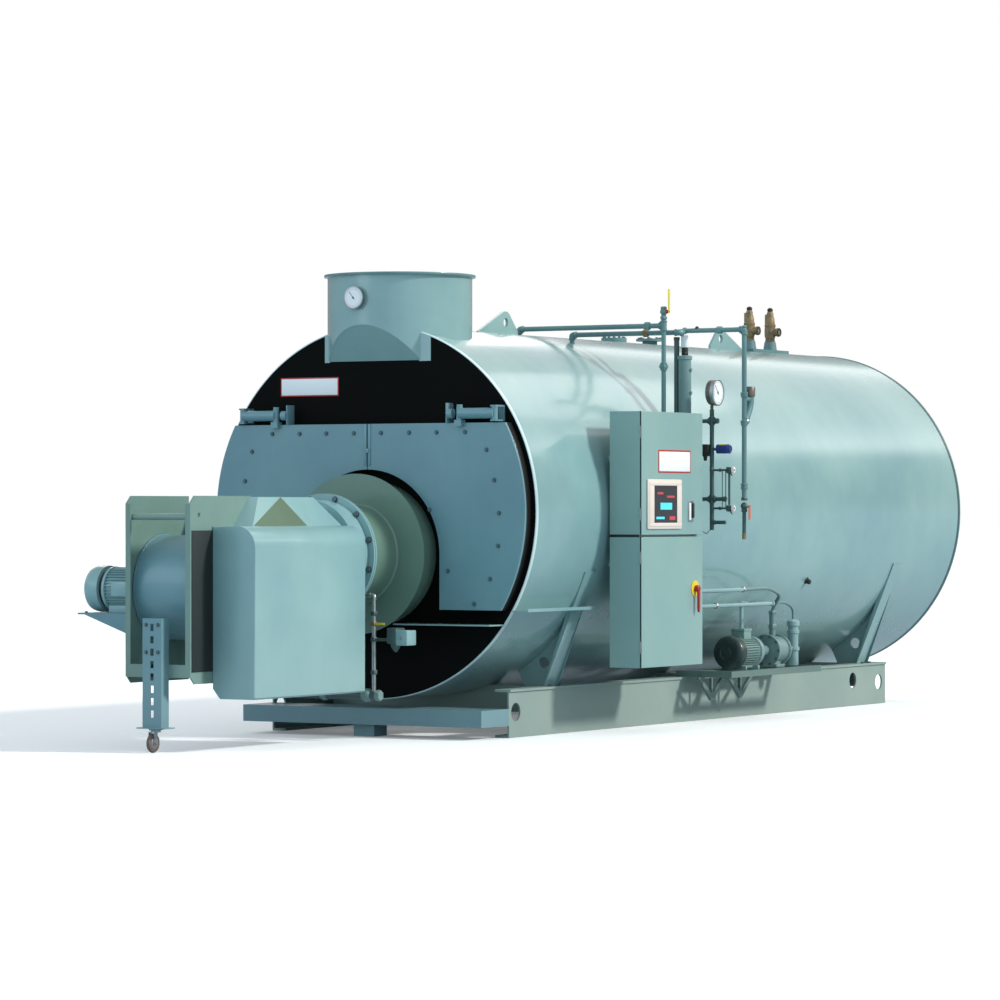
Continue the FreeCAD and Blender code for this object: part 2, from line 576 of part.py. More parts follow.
def trays():
    """Cable tray along the right side and the two shelves under the doors."""
    z = ("tray_height", "tray_height + tray_sheet")
    y = ("0", "cab_front")
    side = fuse(box(("1150", "tray_outer"), y, z),
                box(("tray_outer - 4", "tray_outer"), y, (z[0], f"{z[0]} + tray_lip")))
    beside = "saddle_foot + 355 * (tray_height + tray_lip - rail_height) / 868 + 6"
    notch = box(("1100", beside), ("saddle_front - saddle_strip / 2 - 5",
                                   "saddle_front + saddle_strip / 2 + 5"),
                (f"{z[0]} - 5", f"{z[0]} + tray_lip + 5"))
    part("cable_tray", cut(side, shell_solid(), notch))
    shelves = []
    for sign in (1, -1):
        ends = ("shelf_inner", "shelf_outer") if sign > 0 else ("-shelf_outer", "-shelf_inner")
        shelves.append(box(ends, ("-shelf_depth", "0"),
                           ("shelf_height", "shelf_height + tray_sheet")))
    part("front_shelves", fuse(*shelves))


def lifting_lugs():
    """Two eye plates on the shell's crest."""
    crest = "shell_axis + shell_radius"
    lugs = []
    for start, flip in (("lug_front", False), ("lug_rear", True)):
        outline = [("0", "-20"), ("lug_length", "-20"), ("lug_length", "30"),
                   ("lug_eye + 60", "lug_rise - 24"), ("lug_eye + 24", "lug_rise"),
                   ("lug_eye - 24", "lug_rise"), ("0", "12")]
        eye_y = "lug_eye"
        if flip:
            outline = [(f"lug_length - ({y})", z) for y, z in outline]
            eye_y = "lug_length - lug_eye"
        outline = [(f"{start} + {y}", f"{crest} + {z}") for y, z in outline]
        eye = [(f"{start} + {eye_y}", f"{crest} + lug_eye_height", "lug_hole")]
        lugs.append(prism("YZ", outline, "-lug_thick / 2", "lug_thick", eye))
    part("lifting_lugs", cut(fuse(*lugs), shell_solid()))


# ---------------------------------------------------------------- control cabinet
def cabinet():
    """Two stacked enclosures with a dark seam, open at the face behind the doors."""
    x = ("cab_back", "cab_face")
    y = ("cab_front", "cab_rear")
    bays = (("cab_seam + seam_half", "cab_top"), ("cab_base", "cab_seam - seam_half"))
    cases = [box(x, y, bay) for bay in bays]
    rooms = [box((f"{x[0]} + cab_sheet", f"{x[1]} + 5"),
                 (f"{y[0]} + cab_sheet", f"{y[1]} - cab_sheet"),
                 (f"{bay[0]} + cab_sheet", f"{bay[1]} - cab_sheet")) for bay in bays]
    spacer = box((f"{x[0]} + seam_inset", f"{x[1]} - seam_inset"),
                 (f"{y[0]} + seam_inset", f"{y[1]} - seam_inset"),
                 ("cab_seam - seam_half", "cab_seam + seam_half"))
    part("cabinet_body", fuse(cut(fuse(*cases), fuse(*rooms)), spacer))
    pieces = []
    for low in ("bracket_high", "bracket_low"):
        for start in (f"{y[0]} + 120", f"{y[1]} - 120 - bracket_width"):
            pieces.append(box(("shell_radius - 160", x[0]), (start, f"{start} + bracket_width"),
                              (low, f"{low} + bracket_width")))
    part("cabinet_brackets", cut(fuse(*pieces), shell_solid()))


def cabinet_door(name, low, high):
    """Overlay door pan with two hinge barrels at its front edge."""
    back = "cab_face + skin_gap"
    face = f"{back} + cab_door"
    leaf = box((back, face), ("cab_front", "cab_rear"), (low, high))
    barrels = [rod("Z", (f"{back} + cab_door / 2", "cab_front - hinge_out", start),
                   "hinge_length", "hinge_radius")
               for start in (f"{low} + hinge_inset",
                             f"{high} - hinge_inset - hinge_length")]
    part(name, fuse(leaf, *barrels))


def cabinet_fittings():
    """Doors, display, latch, and the isolator's plate and handle."""
    cabinet_door("cabinet_door_upper", "cab_seam + seam_half", "cab_top")
    cabinet_door("cabinet_door_lower", "cab_base", "cab_seam - seam_half")
    face = "cab_face + skin_gap + cab_door"
    part("display_panel", box((face, f"{face} + display_depth"),
                              ("display_front", "display_rear"),
                              ("display_base", "display_top")))
    latch = fuse(box((face, f"{face} + 8"), ("latch_y - latch_half", "latch_y + latch_half"),
                     ("latch_z - latch_height", "latch_z + latch_height")),
                 box((face, f"{face} + latch_depth"), ("latch_y - 14", "latch_y + 14"),
                     ("latch_z - 50", "latch_z + 50")))
    part("cabinet_latch", latch)
    part("isolator_plate", rod("X", (face, "switch_y", "switch_z"), "plate_thick",
                               "switch_plate"))
    hub_start = f"{face} + plate_thick + skin_gap"
    hub = rod("X", (hub_start, "switch_y", "switch_z"), "switch_standoff", "switch_hub")
    lever = box((f"{hub_start} + switch_standoff - 14", f"{hub_start} + switch_standoff"),
                ("switch_y - lever_half", "switch_y + lever_half"),
                ("switch_z - switch_lever", "switch_z + 20"))
    part("isolator_handle", fuse(hub, lever))


# ---------------------------------------------------------------- top of the shell
def top_nozzles():
    """Valve pad with two nozzles, the flanged steam outlet and the handhole boss."""
    crest = "shell_axis + shell_radius"
    pad = box(("-pad_half", "pad_half"), ("pad_front", "pad_rear"),
              (f"{crest} - 60", f"{crest} + pad_rise"))
    necks = [cone(("0", y, f"{crest} - 10"), f"nozzle_top - ({crest}) + 10",
                  "nozzle_radius + 16", "nozzle_radius") for y in ("valve_front", "valve_rear")]
    neck = rod("Z", ("0", "steam_y", f"{crest} - 20"), f"steam_top - ({crest}) + 20",
               "steam_neck")
    plate = rod("Z", ("0", "steam_y", "steam_top - steam_plate"), "steam_plate",
                "steam_flange")
    bore = rod("Z", ("0", "steam_y", f"{crest} - 30"), "200", "steam_bore")
    bolts = []
    for i in range(8):
        bolt = doc.addObject("Part::Cylinder", "bolt_hole")
        turn = Rotation(Vector(0, 0, 1), 45 * i + 22.5)
        arm = turn.multVec(Vector(1, 0, 0))
        bind(bolt, Radius="steam_bolt", Height="steam_plate + 10")
        put(bolt, f"{arm.x:.9f} * steam_pcd / 2", f"steam_y + {arm.y:.9f} * steam_pcd / 2",
            "steam_top - steam_plate - 5")
        bolts.append(bolt)
    boss = rod("Z", ("0", "handhole_y", f"{crest} - 20"), f"handhole_top - ({crest}) + 20",
               "handhole_radius")
    steam = cut(fuse(neck, plate), bore, *bolts)
    part("top_nozzles", cut(fuse(pad, *necks, steam, boss), shell_solid()))


def safety_valves():
    """Two angle-body spring valves with side outlets."""
    valves = []
    for y in ("valve_front", "valve_rear"):
        low = "nozzle_top"
        pieces = [rod("Z", ("0", y, low), "20", "nozzle_radius"),
                  rod("Z", ("0", y, f"{low} + 20"), "valve_height * 0.4", "valve_body"),
                  cone(("0", y, f"{low} + 20 + valve_height * 0.4"), "valve_height * 0.4",
                       "valve_bonnet", "valve_bonnet * 0.7"),
                  rod("Z", ("0", y, f"{low} + 20 + valve_height * 0.8"), "valve_height * 0.2",
                      "valve_cap")]
        outlet_z = f"{low} + outlet_rise"
        arm = rod("X", ("0", y, outlet_z), "outlet_reach", "outlet_radius")
        bore = rod("X", ("outlet_reach - 40", y, outlet_z), "45", "outlet_bore")
        valves.append(cut(fuse(*pieces, arm), bore))
    part("safety_valves", fuse(*valves))


# ---------------------------------------------------------------- level and pressure trim
def crossover():
    """Two steam pipes across the shell's top to the trim side."""
    crest = "shell_axis + shell_radius"
    first = run([("0", "riser_y", f"{crest} - 20"), ("0", "riser_y", "riser_top"),
                 ("riser_x", "riser_y", "riser_top"), ("riser_x", "riser_y", "riser_foot"),
                 ("riser_x - 120", "riser_y", "riser_foot")], "pipe_radius")
    second = run([("second_x", "second_y", "second_top - 120"),
                  ("second_x", "second_y", "second_top"),
                  ("column_x", "second_y", "second_top"),
                  ("column_x", "trim_y", "second_top")], "pipe_radius")
    union = [rod("Z", ("riser_x", "riser_y", "riser_top - 350"), "56", "pipe_radius + 20"),
             rod("X", ("riser_x - 150", "riser_y", "riser_top"), "50", "pipe_radius + 12")]
    part("crossover_pipes", cut(fuse(first, second, *union), shell_solid(),
                                trim_column_space()))


def trim_column_space():
    """The room that the column's top pipe takes, to trim the pipe that meets it."""
    return rod("Z", ("column_x", "trim_y", "column_top - 20"),
               "header_top - column_top + 100", "elbow_radius + skin_gap")


def vent_valve():
    """Ball valve above the riser with its lever standing up."""
    base = "riser_top + elbow_radius + skin_gap"
    middle = f"{base} + vent_height - 40"
    body = fuse(rod("Z", ("riser_x", "riser_y", base), "vent_height", "pipe_radius"),
                ball(("riser_x", "riser_y", middle), "vent_radius"),
                rod("X", ("riser_x", "riser_y", middle), "stem_reach", "stem_radius"))
    part("vent_valve", body)
    start = "riser_x + stem_reach + lever_gap"
    lever = fuse(rod("X", (start, "riser_y", middle), "lever_thick", "16"),
                 box((start, f"{start} + lever_thick"), ("riser_y - 9", "riser_y + 9"),
                     (middle, f"{middle} + vent_lever")))
    part("vent_valve_lever", lever)


def column():
    """Water column with its flanged ends, and the header and drain pipe beyond it."""
    y = "trim_y"
    body = rod("Z", ("column_x", y, "column_base"), "column_top - column_base",
               "column_radius")
    caps = [rod("Z", ("column_x", y, z), "24", "column_radius + 10")
            for z in ("column_base - 12", "column_top - 12")]
    upper = rod("Z", ("column_x", y, "column_top"), "header_top - column_top",
                "pipe_radius + 4")
    part("water_column", cut(fuse(body, *caps, upper), shell_solid()))
    line = run([("column_x", y, "header_top + skin_gap"),
                ("drain_x", y, "header_top + skin_gap"),
                ("drain_x", y, "drain_valve + 45")], "pipe_radius")
    fittings = [rod("X", ("column_x + 280", y, "header_top + skin_gap"), "50",
                    "pipe_radius + 10"),
                rod("Z", ("drain_x", y, "drain_valve + 130"), "60", "pipe_radius + 12"),
                rod("Z", ("drain_x", y, "header_top - 520"), "240", "pipe_radius + 10"),
                ball(("column_x", y, "header_top + skin_gap"), "elbow_radius")]
    valve = [rod("Z", ("drain_x", y, "drain_foot"), "drain_valve - drain_foot + 50",
                 "pipe_radius - 4"),
             ball(("drain_x", y, "drain_valve"), "vent_radius"),
             rod("X", ("drain_x", y, "drain_valve"), "stem_reach", "stem_radius")]
    tool = rod("Z", ("column_x", y, "column_top - 40"), "header_top - column_top + 40",
               "pipe_radius + 4 + skin_gap")
    part("drain_line", cut(fuse(line, *fittings, *valve), tool))
    start = "drain_x + stem_reach + lever_gap"
    lever = fuse(rod("X", (start, y, "drain_valve"), "lever_thick", "16"),
                 box((start, f"{start} + lever_thick"), (f"{y} - 9", f"{y} + 9"),
                     ("drain_valve - drain_lever", "drain_valve")))
    part("drain_valve_lever", lever)


def instruments():
    """Gauge manifold with the dial gauge, switches and gauge glass."""
    y = "trim_y"
    upright = rod("Z", ("manifold_x", y, "manifold_base"), "manifold_top - manifold_base",
                  "manifold_radius")
    high = rod("X", ("column_x + column_radius + skin_gap", y, "cross_high"),
               "manifold_x - column_x - column_radius + 46", "manifold_radius")
    low = rod("X", ("shell_radius - 40", y, "cross_low"), "glass_x - shell_radius + 15",
              "manifold_radius")
    foot = rod("X", ("manifold_x", y, "manifold_base + 60"), "120", "manifold_radius")
    crosses = [ball(("manifold_x", y, z), "manifold_radius + 10")
               for z in ("cross_high", "cross_low")]
    part("gauge_manifold", cut(fuse(upright, high, low, foot, *crosses), shell_solid()))
    dial_x = "manifold_x - 16"
    dial = fuse(rod("X", (dial_x, y, "gauge_z"), "gauge_depth", "gauge_radius"),
                rod("Z", ("manifold_x", y, "manifold_top + skin_gap"),
                    "gauge_z - manifold_top - gauge_radius + 20", "12"))
    part("steam_gauge", dial)
    gap = "(manifold_radius + skin_gap)"
    switch = box((f"manifold_x - {gap} - 90", f"manifold_x - {gap}"), (f"{y} - 40", f"{y} + 40"),
                 ("2105", "2200"))
    sender = fuse(box((f"manifold_x + {gap} + 30", f"manifold_x + {gap} + 150"),
                      (f"{y} - 36", f"{y} + 36"), ("2120", "2205")),
                  rod("X", (f"manifold_x + {gap}", y, "2160"), "40", "12"))
    part("pressure_controls", fuse(switch, sender))
    tube = rod("Z", ("glass_x", y, "glass_low + 26"), "glass_high - glass_low - 52",
               "glass_radius")
    valves = []
    for z in ("glass_high", "glass_low"):
        valves.append(box(("glass_x - 22", "glass_x + 22"), (f"{y} - 22", f"{y} + 22"),
                          (f"{z} - 26", f"{z} + 26")))
        start = f"manifold_x + {gap}"
        valves.append(rod("X", (start, y, z), f"glass_x - ({start})", "9"))
        valves.append(rod("X", ("glass_x + 20", y, z), "26", "20"))
    part("level_glass", fuse(tube, *valves))


# ---------------------------------------------------------------- pump set
def pump_skid():
    """Base frame on two triangular brackets off the right rail."""
    x = ("pump_x - pump_half", "pump_x + pump_half")
    z = ("rail_height + skin_gap", "rail_height + skin_gap + pump_beam")
    beams = [box((side, f"{side} + pump_beam"), ("pump_front", "pump_rear"), z)
             for side in (x[0], f"{x[1]} - pump_beam")]
    ends = [box(x, (start, f"{start} + pump_beam"), z)
            for start in ("pump_front", "pump_rear - pump_beam", "pump_motor_front + 60",
                          "pump_motor_front + 330", "head_front + 90")]
    brackets = []
    for y in ("brace_first", "brace_second"):
        low, wide = f"{z[0]} - brace_drop", "brace_half"
        outline = [(f"{y} - {wide}", z[0]), (f"{y} - {wide}", f"{z[0]} - brace_bar / 2"),
                   (f"{y} - brace_bar / 2", low), (f"{y} + brace_bar / 2", low),
                   (f"{y} + {wide}", f"{z[0]} - brace_bar / 2"), (f"{y} + {wide}", z[0])]
        left = [(f"{y} - {wide} + 2 * brace_bar", f"{z[0]} - brace_bar / 2"),
                (f"{y} - brace_bar / 2", f"{low} + 2.4 * brace_bar"),
                (f"{y} - brace_bar / 2", f"{z[0]} - brace_bar / 2")]
        right = [(f"{y} + brace_bar / 2", f"{z[0]} - brace_bar / 2"),
                 (f"{y} + brace_bar / 2", f"{low} + 2.4 * brace_bar"),
                 (f"{y} + {wide} - 2 * brace_bar", f"{z[0]} - brace_bar / 2")]
        brackets.append(cut(prism("YZ", outline, "brace_x", "brace_bar"),
                            prism("YZ", left, "brace_x - 5", "brace_bar + 10"),
                            prism("YZ", right, "brace_x - 5", "brace_bar + 10")))
    rib = box(("brace_x", "brace_x + brace_bar"), ("pump_front", "brace_second + brace_half"), z)
    seat = box(("rail_outer - 60", f"{x[0]} + 10"), ("pump_front", "pump_front + pump_beam"), z)
    part("pump_skid", fuse(*beams, *ends, *brackets, rib, seat))


def pump_set():
    """Motor, multistage pump head, strainer and their conduits."""
    x, axis = "pump_x", "pump_axis"
    deck = "rail_height + skin_gap + pump_beam"
    cowl = rod("Y", (x, "pump_motor_front", axis), "pump_cowl", "pump_motor_radius")
    body = rod("Y", (x, "pump_motor_front + pump_cowl", axis),
               "pump_motor_length - pump_cowl", "pump_motor_radius - 14")
    feet = box((f"{x} - 110", f"{x} + 110"),
               ("pump_motor_front + 110", "pump_motor_front + 380"), (deck, f"{axis} - 60"))
    shaft = rod("Y", (x, "pump_motor_front + pump_motor_length", axis),
                "head_front - pump_motor_front - pump_motor_length - skin_gap", "40")
    terminal = box((f"{x} - 60", f"{x} + 60"),
                   ("pump_motor_front + 180", "pump_motor_front + 320"),
                   (f"{axis} + 90", f"{axis} + 190"))
    part("pump_motor", fuse(cowl, body, feet, shaft, terminal))
    head = rod("Y", (x, "head_front", axis), "head_length", "head_radius")
    flange = rod("Y", (x, "head_front", axis), "24", "head_radius + 20")
    foot = box((f"{x} - 80", f"{x} + 80"), ("head_front + 40", "head_front + 200"),
               (deck, f"{axis} - 50"))
    up = rod("Z", (x, "head_front + 120", axis), "320", "26")
    part("pump_head", fuse(head, flange, foot, up))
    strainer = fuse(rod("Z", (x, "filter_y", deck), f"filter_top - ({deck})",
                        "filter_radius"),
                    rod("Z", (x, "filter_y", "filter_top - 60"), "60", "filter_radius + 12"),
                    rod("Y", (x, "head_front + head_length + skin_gap", axis),
                        "filter_y - head_front - head_length", "24"))
    part("pump_strainer", strainer)
    y0 = "cab_rear + skin_gap"
    high = run([("conduit_x", y0, "conduit_high"),
                ("conduit_x", "head_front - 300", "conduit_high"),
                (x, "head_front - 300", "conduit_high"),
                (x, "head_front - 300", "conduit_low")],
               "conduit_radius", "conduit_radius + 4")
    low = run([("conduit_x", y0, "conduit_low"), ("conduit_x", "head_front - 300", "conduit_low"),
               (x, "head_front - 300", "conduit_low"),
               (x, "pump_motor_front + 250", "conduit_low"),
               (x, "pump_motor_front + 250", f"{axis} + 190 + skin_gap")],
              "conduit_radius", "conduit_radius + 4")
    part("pump_conduits", fuse(high, low))


def gas_train():
    """Gas riser, main and shut-off actuator beside the burner's neck."""
    y = "-gas_y"
    riser = run([("gas_x", y, "gas_run"), ("gas_x", y, "gas_top"), ("120", y, "gas_top")],
                "gas_pipe", "gas_pipe + 8")
    main = rod("X", ("-gas_left", y, "gas_run"), "gas_left + gas_x + 60", "gas_main")
    valve = ball(("gas_x - 60", y, "gas_run"), "gas_main + 16")
    link = rod("X", ("gas_x", y, "actuator_base + 90"), "actuator_x - gas_x", "gas_pipe - 4")
    neck = rod("Y", ("0", f"{y} - 100", "burner_axis"), "200", "neck_radius + skin_gap")
    part("gas_train", cut(fuse(riser, main, valve, link), neck))
    part("gas_actuator", box(("actuator_x + skin_gap", "actuator_x + actuator_size"),
                             (f"{y} - 70", f"{y} + 70"),
                             ("actuator_base", "actuator_base + actuator_size")))


def build():
    """Make every sub-part in order, from the shell outwards."""
    shell()
    stack()
    stack_dial()
    for side, sign in (("right", 1), ("left", -1)):
        tube_door(side, sign)
        davit_arm(side, sign)
        rail(side, sign)
    davit_brackets()
    burner()
    air_box()
    fan()
    fan_motor()
    support_leg()
    caster()
    skid()
    saddle("saddle_front", "saddle_front")
    saddle("saddle_rear", "saddle_rear")
    trays()
    lifting_lugs()
    cabinet()
    cabinet_fittings()
    top_nozzles()
    safety_valves()
    crossover()
    vent_valve()
    column()
    instruments()
    pump_skid()
    pump_set()
    gas_train()


build()
doc.recompute()
for thing in doc.Objects:
    if "Invalid" in thing.State or "Error" in thing.State:
        raise RuntimeError(f"{thing.Label} failed: {thing.State}")
for thing in PARTS:
    if thing.Shape.isNull() or not thing.Shape.isValid():
        raise RuntimeError(f"{thing.Label} has no valid shape")
os.makedirs("parts", exist_ok=True)
for thing in PARTS:
    thing.Shape.exportStep(f"parts/{thing.Label}.step")
    size = thing.Shape.BoundBox
    print(f"{thing.Label}: {len(thing.Shape.Solids)} solids, {size}")
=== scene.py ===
"""Looks of a packaged steam boiler: paint, bolts, burner, fan, trim, cabinet and pump set.

Metres.  X runs across the boiler, Y from the burner end to the rear, Z up.
"""
from __future__ import annotations

import json
import logging
import math
from dataclasses import dataclass
from enum import Enum
from typing import Callable, Iterable, Sequence

import bmesh
import bpy
from mathutils import Matrix, Vector
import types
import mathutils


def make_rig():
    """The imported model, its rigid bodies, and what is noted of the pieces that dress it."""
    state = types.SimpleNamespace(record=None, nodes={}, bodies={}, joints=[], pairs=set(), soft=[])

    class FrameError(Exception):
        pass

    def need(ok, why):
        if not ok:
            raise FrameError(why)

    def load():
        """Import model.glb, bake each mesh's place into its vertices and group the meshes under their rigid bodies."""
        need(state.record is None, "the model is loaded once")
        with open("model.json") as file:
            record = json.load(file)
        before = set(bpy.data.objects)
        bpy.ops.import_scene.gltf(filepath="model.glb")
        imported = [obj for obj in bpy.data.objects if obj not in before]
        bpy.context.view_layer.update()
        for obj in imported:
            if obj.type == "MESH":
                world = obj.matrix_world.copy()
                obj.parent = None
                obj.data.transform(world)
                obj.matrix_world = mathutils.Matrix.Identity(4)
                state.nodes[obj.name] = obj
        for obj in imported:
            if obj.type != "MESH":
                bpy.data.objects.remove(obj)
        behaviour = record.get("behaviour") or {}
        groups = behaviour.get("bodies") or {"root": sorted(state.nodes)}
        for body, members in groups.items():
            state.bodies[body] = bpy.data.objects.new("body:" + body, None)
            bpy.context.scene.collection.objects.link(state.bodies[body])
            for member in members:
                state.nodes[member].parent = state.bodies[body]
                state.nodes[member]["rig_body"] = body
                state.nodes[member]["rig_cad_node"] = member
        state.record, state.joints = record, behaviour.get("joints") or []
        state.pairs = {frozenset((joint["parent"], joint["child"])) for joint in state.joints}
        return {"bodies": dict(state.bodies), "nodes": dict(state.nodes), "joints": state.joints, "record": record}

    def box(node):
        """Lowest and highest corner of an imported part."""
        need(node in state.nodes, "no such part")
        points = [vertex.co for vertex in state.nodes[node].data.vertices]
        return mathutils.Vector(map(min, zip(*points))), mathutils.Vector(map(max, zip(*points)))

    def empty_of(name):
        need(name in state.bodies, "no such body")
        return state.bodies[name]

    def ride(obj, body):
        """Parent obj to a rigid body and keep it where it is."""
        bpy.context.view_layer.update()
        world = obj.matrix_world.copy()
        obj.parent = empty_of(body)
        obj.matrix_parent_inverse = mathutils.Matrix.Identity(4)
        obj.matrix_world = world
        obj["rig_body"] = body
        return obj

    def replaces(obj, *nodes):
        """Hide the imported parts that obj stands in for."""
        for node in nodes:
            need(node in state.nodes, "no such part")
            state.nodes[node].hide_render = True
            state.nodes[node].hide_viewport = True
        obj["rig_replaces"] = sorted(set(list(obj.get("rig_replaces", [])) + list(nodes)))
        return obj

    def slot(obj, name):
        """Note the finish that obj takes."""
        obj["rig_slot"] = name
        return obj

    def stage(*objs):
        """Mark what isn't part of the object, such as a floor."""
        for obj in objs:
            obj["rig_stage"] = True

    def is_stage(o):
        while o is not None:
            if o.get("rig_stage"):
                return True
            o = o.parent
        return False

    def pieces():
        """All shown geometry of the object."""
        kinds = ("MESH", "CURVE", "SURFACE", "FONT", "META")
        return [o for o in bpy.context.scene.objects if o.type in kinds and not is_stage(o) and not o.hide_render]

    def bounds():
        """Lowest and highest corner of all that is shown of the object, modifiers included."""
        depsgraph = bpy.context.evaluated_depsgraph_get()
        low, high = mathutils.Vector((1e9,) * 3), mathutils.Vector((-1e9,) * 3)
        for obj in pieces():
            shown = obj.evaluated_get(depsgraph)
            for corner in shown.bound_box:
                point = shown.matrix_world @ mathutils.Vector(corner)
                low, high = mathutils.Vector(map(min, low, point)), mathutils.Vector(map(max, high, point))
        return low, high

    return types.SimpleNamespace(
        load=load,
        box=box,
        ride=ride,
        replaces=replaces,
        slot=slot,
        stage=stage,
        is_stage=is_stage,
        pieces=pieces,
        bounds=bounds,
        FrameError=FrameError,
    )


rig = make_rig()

LOG = logging.getLogger("boiler")
Triple = Sequence[float]
Colour = tuple[float, float, float]


class Axis(Enum):
    """Directions that turned pieces and rods point along."""

    X = (1.0, 0.0, 0.0)
    Y = (0.0, 1.0, 0.0)
    Z = (0.0, 0.0, 1.0)
    BACK_X = (-1.0, 0.0, 0.0)
    BACK_Y = (0.0, -1.0, 0.0)
    DOWN = (0.0, 0.0, -1.0)

    @property
    def vector(self) -> Vector:
        """The direction as a vector."""
        return Vector(self.value)


# ------------------------------------------------------------------ shader maths
class Signal:
    """A shader socket on which sums and products can be written."""

    def __init__(self, shader: "Shader", socket: bpy.types.NodeSocket) -> None:
        """Keep the tree's maker and the socket."""
        self.shader = shader
        self.socket = socket

    def _maths(self, operation: str, first: object, second: object) -> "Signal":
        """Add one Math node.

        Args:
            operation: the Math node's operation.
            first: a Signal or a number.
            second: a Signal or a number.

        Returns:
            The result as a new Signal.
        """
        return self.shader.node("ShaderNodeMath", {"operation": operation}, first, second)

    def __add__(self, other: object) -> "Signal":
        """Sum."""
        return self._maths("ADD", self, other)

    def __radd__(self, other: object) -> "Signal":
        """Sum with a number in front."""
        return self._maths("ADD", other, self)

    def __sub__(self, other: object) -> "Signal":
        """Difference."""
        return self._maths("SUBTRACT", self, other)

    def __rsub__(self, other: object) -> "Signal":
        """Difference with a number in front."""
        return self._maths("SUBTRACT", other, self)

    def __mul__(self, other: object) -> "Signal":
        """Product."""
        return self._maths("MULTIPLY", self, other)

    def __rmul__(self, other: object) -> "Signal":
        """Product with a number in front."""
        return self._maths("MULTIPLY", other, self)

    def clamped(self) -> "Signal":
        """The value held between 0 and 1."""
        return self.shader.node("ShaderNodeClamp", {}, self, 0.0, 1.0)

    def step(self, low: float, high: float) -> "Signal":
        """Ramp from 0 at low to 1 at high.

        Args:
            low: value that gives 0.
            high: value that gives 1.

        Returns:
            The ramped value.
        """
        return self.shader.node("ShaderNodeMapRange", {"clamp": True}, self, low, high, 0.0, 1.0)


class Shader:
    """Makes one material's node tree."""

    def __init__(self, name: str) -> None:
        """Start an empty material with its surface shader."""
        self.material = bpy.data.materials.new(name)
        self.material.use_nodes = True
        self.tree = self.material.node_tree
        self.tree.nodes.clear()
        self.surface = self.tree.nodes.new("ShaderNodeBsdfPrincipled")
        output = self.tree.nodes.new("ShaderNodeOutputMaterial")
        self.tree.links.new(self.surface.outputs[0], output.inputs[0])
        self._place: Signal | None = None

    def node(self, kind: str, settings: dict[str, object], *values: object,
             out: int | str = 0) -> Signal:
        """Add a node, its settings first and then its sockets.

        Args:
            kind: the node's type.
            settings: properties to set; "stops" fills a colour ramp.
            values: sockets in order, each a Signal, a value or None.
            out: the output to return.

        Returns:
            The chosen output as a Signal.
        """
        made = self.tree.nodes.new(kind)
        for key, value in settings.items():
            if key == "stops":
                ramp = made.color_ramp.elements
                while len(ramp) > 1:
                    ramp.remove(ramp[-1])
                for index, (where, colour) in enumerate(value):
                    stop = ramp[0] if index == 0 else ramp.new(where)
                    stop.position = where
                    stop.color = (*colour, 1.0)
            else:
                setattr(made, key, value)
        sockets = [item for item in made.inputs if item.enabled]
        for socket, value in zip(sockets, values):
            if isinstance(value, Signal):
                self.tree.links.new(value.socket, socket)
            elif value is not None:
                if hasattr(value, "__len__") and len(value) == 3 and socket.type == "RGBA":
                    value = (*value, 1.0)
                socket.default_value = value
        outputs = [item for item in made.outputs if item.enabled]
        chosen = outputs[out] if isinstance(out, int) else made.outputs[out]
        return Signal(self, chosen)

    @property
    def place(self) -> Signal:
        """Object coordinates."""
        if self._place is None:
            self._place = self.node("ShaderNodeTexCoord", {}, out="Object")
        return self._place

    def stretched(self, scale: Triple) -> Signal:
        """Object coordinates scaled by axis."""
        return self.node("ShaderNodeMapping", {"vector_type": "POINT"}, self.place, None, None,
                         tuple(scale))

    def noise(self, scale: float, detail: float = 3.0, where: Signal | None = None) -> Signal:
        """Smooth noise.

        Args:
            scale: how fine the noise is.
            detail: octaves.
            where: coordinates, the object's own by default.

        Returns:
            The noise value.
        """
        return self.node("ShaderNodeTexNoise", {}, where or self.place, scale, detail, 0.55)

    def axis(self, name: str) -> Signal:
        """One component of the object coordinates."""
        return self.node("ShaderNodeSeparateXYZ", {}, self.place, out=name)

    def mix(self, factor: object, first: object, second: object) -> Signal:
        """Blend two colours."""
        made = self.tree.nodes.new("ShaderNodeMix")
        made.data_type = "RGBA"
        for socket, value in ((made.inputs[0], factor), (made.inputs[6], first),
                              (made.inputs[7], second)):
            if isinstance(value, Signal):
                self.tree.links.new(value.socket, socket)
            else:
                socket.default_value = (*value, 1.0) if hasattr(value, "__len__") else value
        return Signal(self, made.outputs[2])

    def bump(self, height: Signal, strength: float, distance: float) -> Signal:
        """Surface relief from a height."""
        made = self.tree.nodes.new("ShaderNodeBump")
        made.inputs["Strength"].default_value = strength
        made.inputs["Distance"].default_value = distance
        self.tree.links.new(height.socket, made.inputs["Height"])
        return Signal(self, made.outputs[0])

    def set(self, **values: object) -> None:
        """Set the surface shader's sockets, with underscores for spaces."""
        for key, value in values.items():
            socket = self.surface.inputs[key.replace("_", " ")]
            if isinstance(value, Signal):
                self.tree.links.new(value.socket, socket)
            elif hasattr(value, "__len__") and len(value) == 3 and socket.type == "RGBA":
                socket.default_value = (*value, 1.0)
            else:
                socket.default_value = value


# ------------------------------------------------------------------ finishes
_MADE: dict[object, bpy.types.Material] = {}


def srgb(red: int, green: int, blue: int) -> Colour:
    """A display colour as linear light."""
    def linear(level: int) -> float:
        """One channel, from 0 to 255, as linear light."""
        share = level / 255
        return share / 12.92 if share <= 0.04045 else ((share + 0.055) / 1.055) ** 2.4
    return linear(red), linear(green), linear(blue)


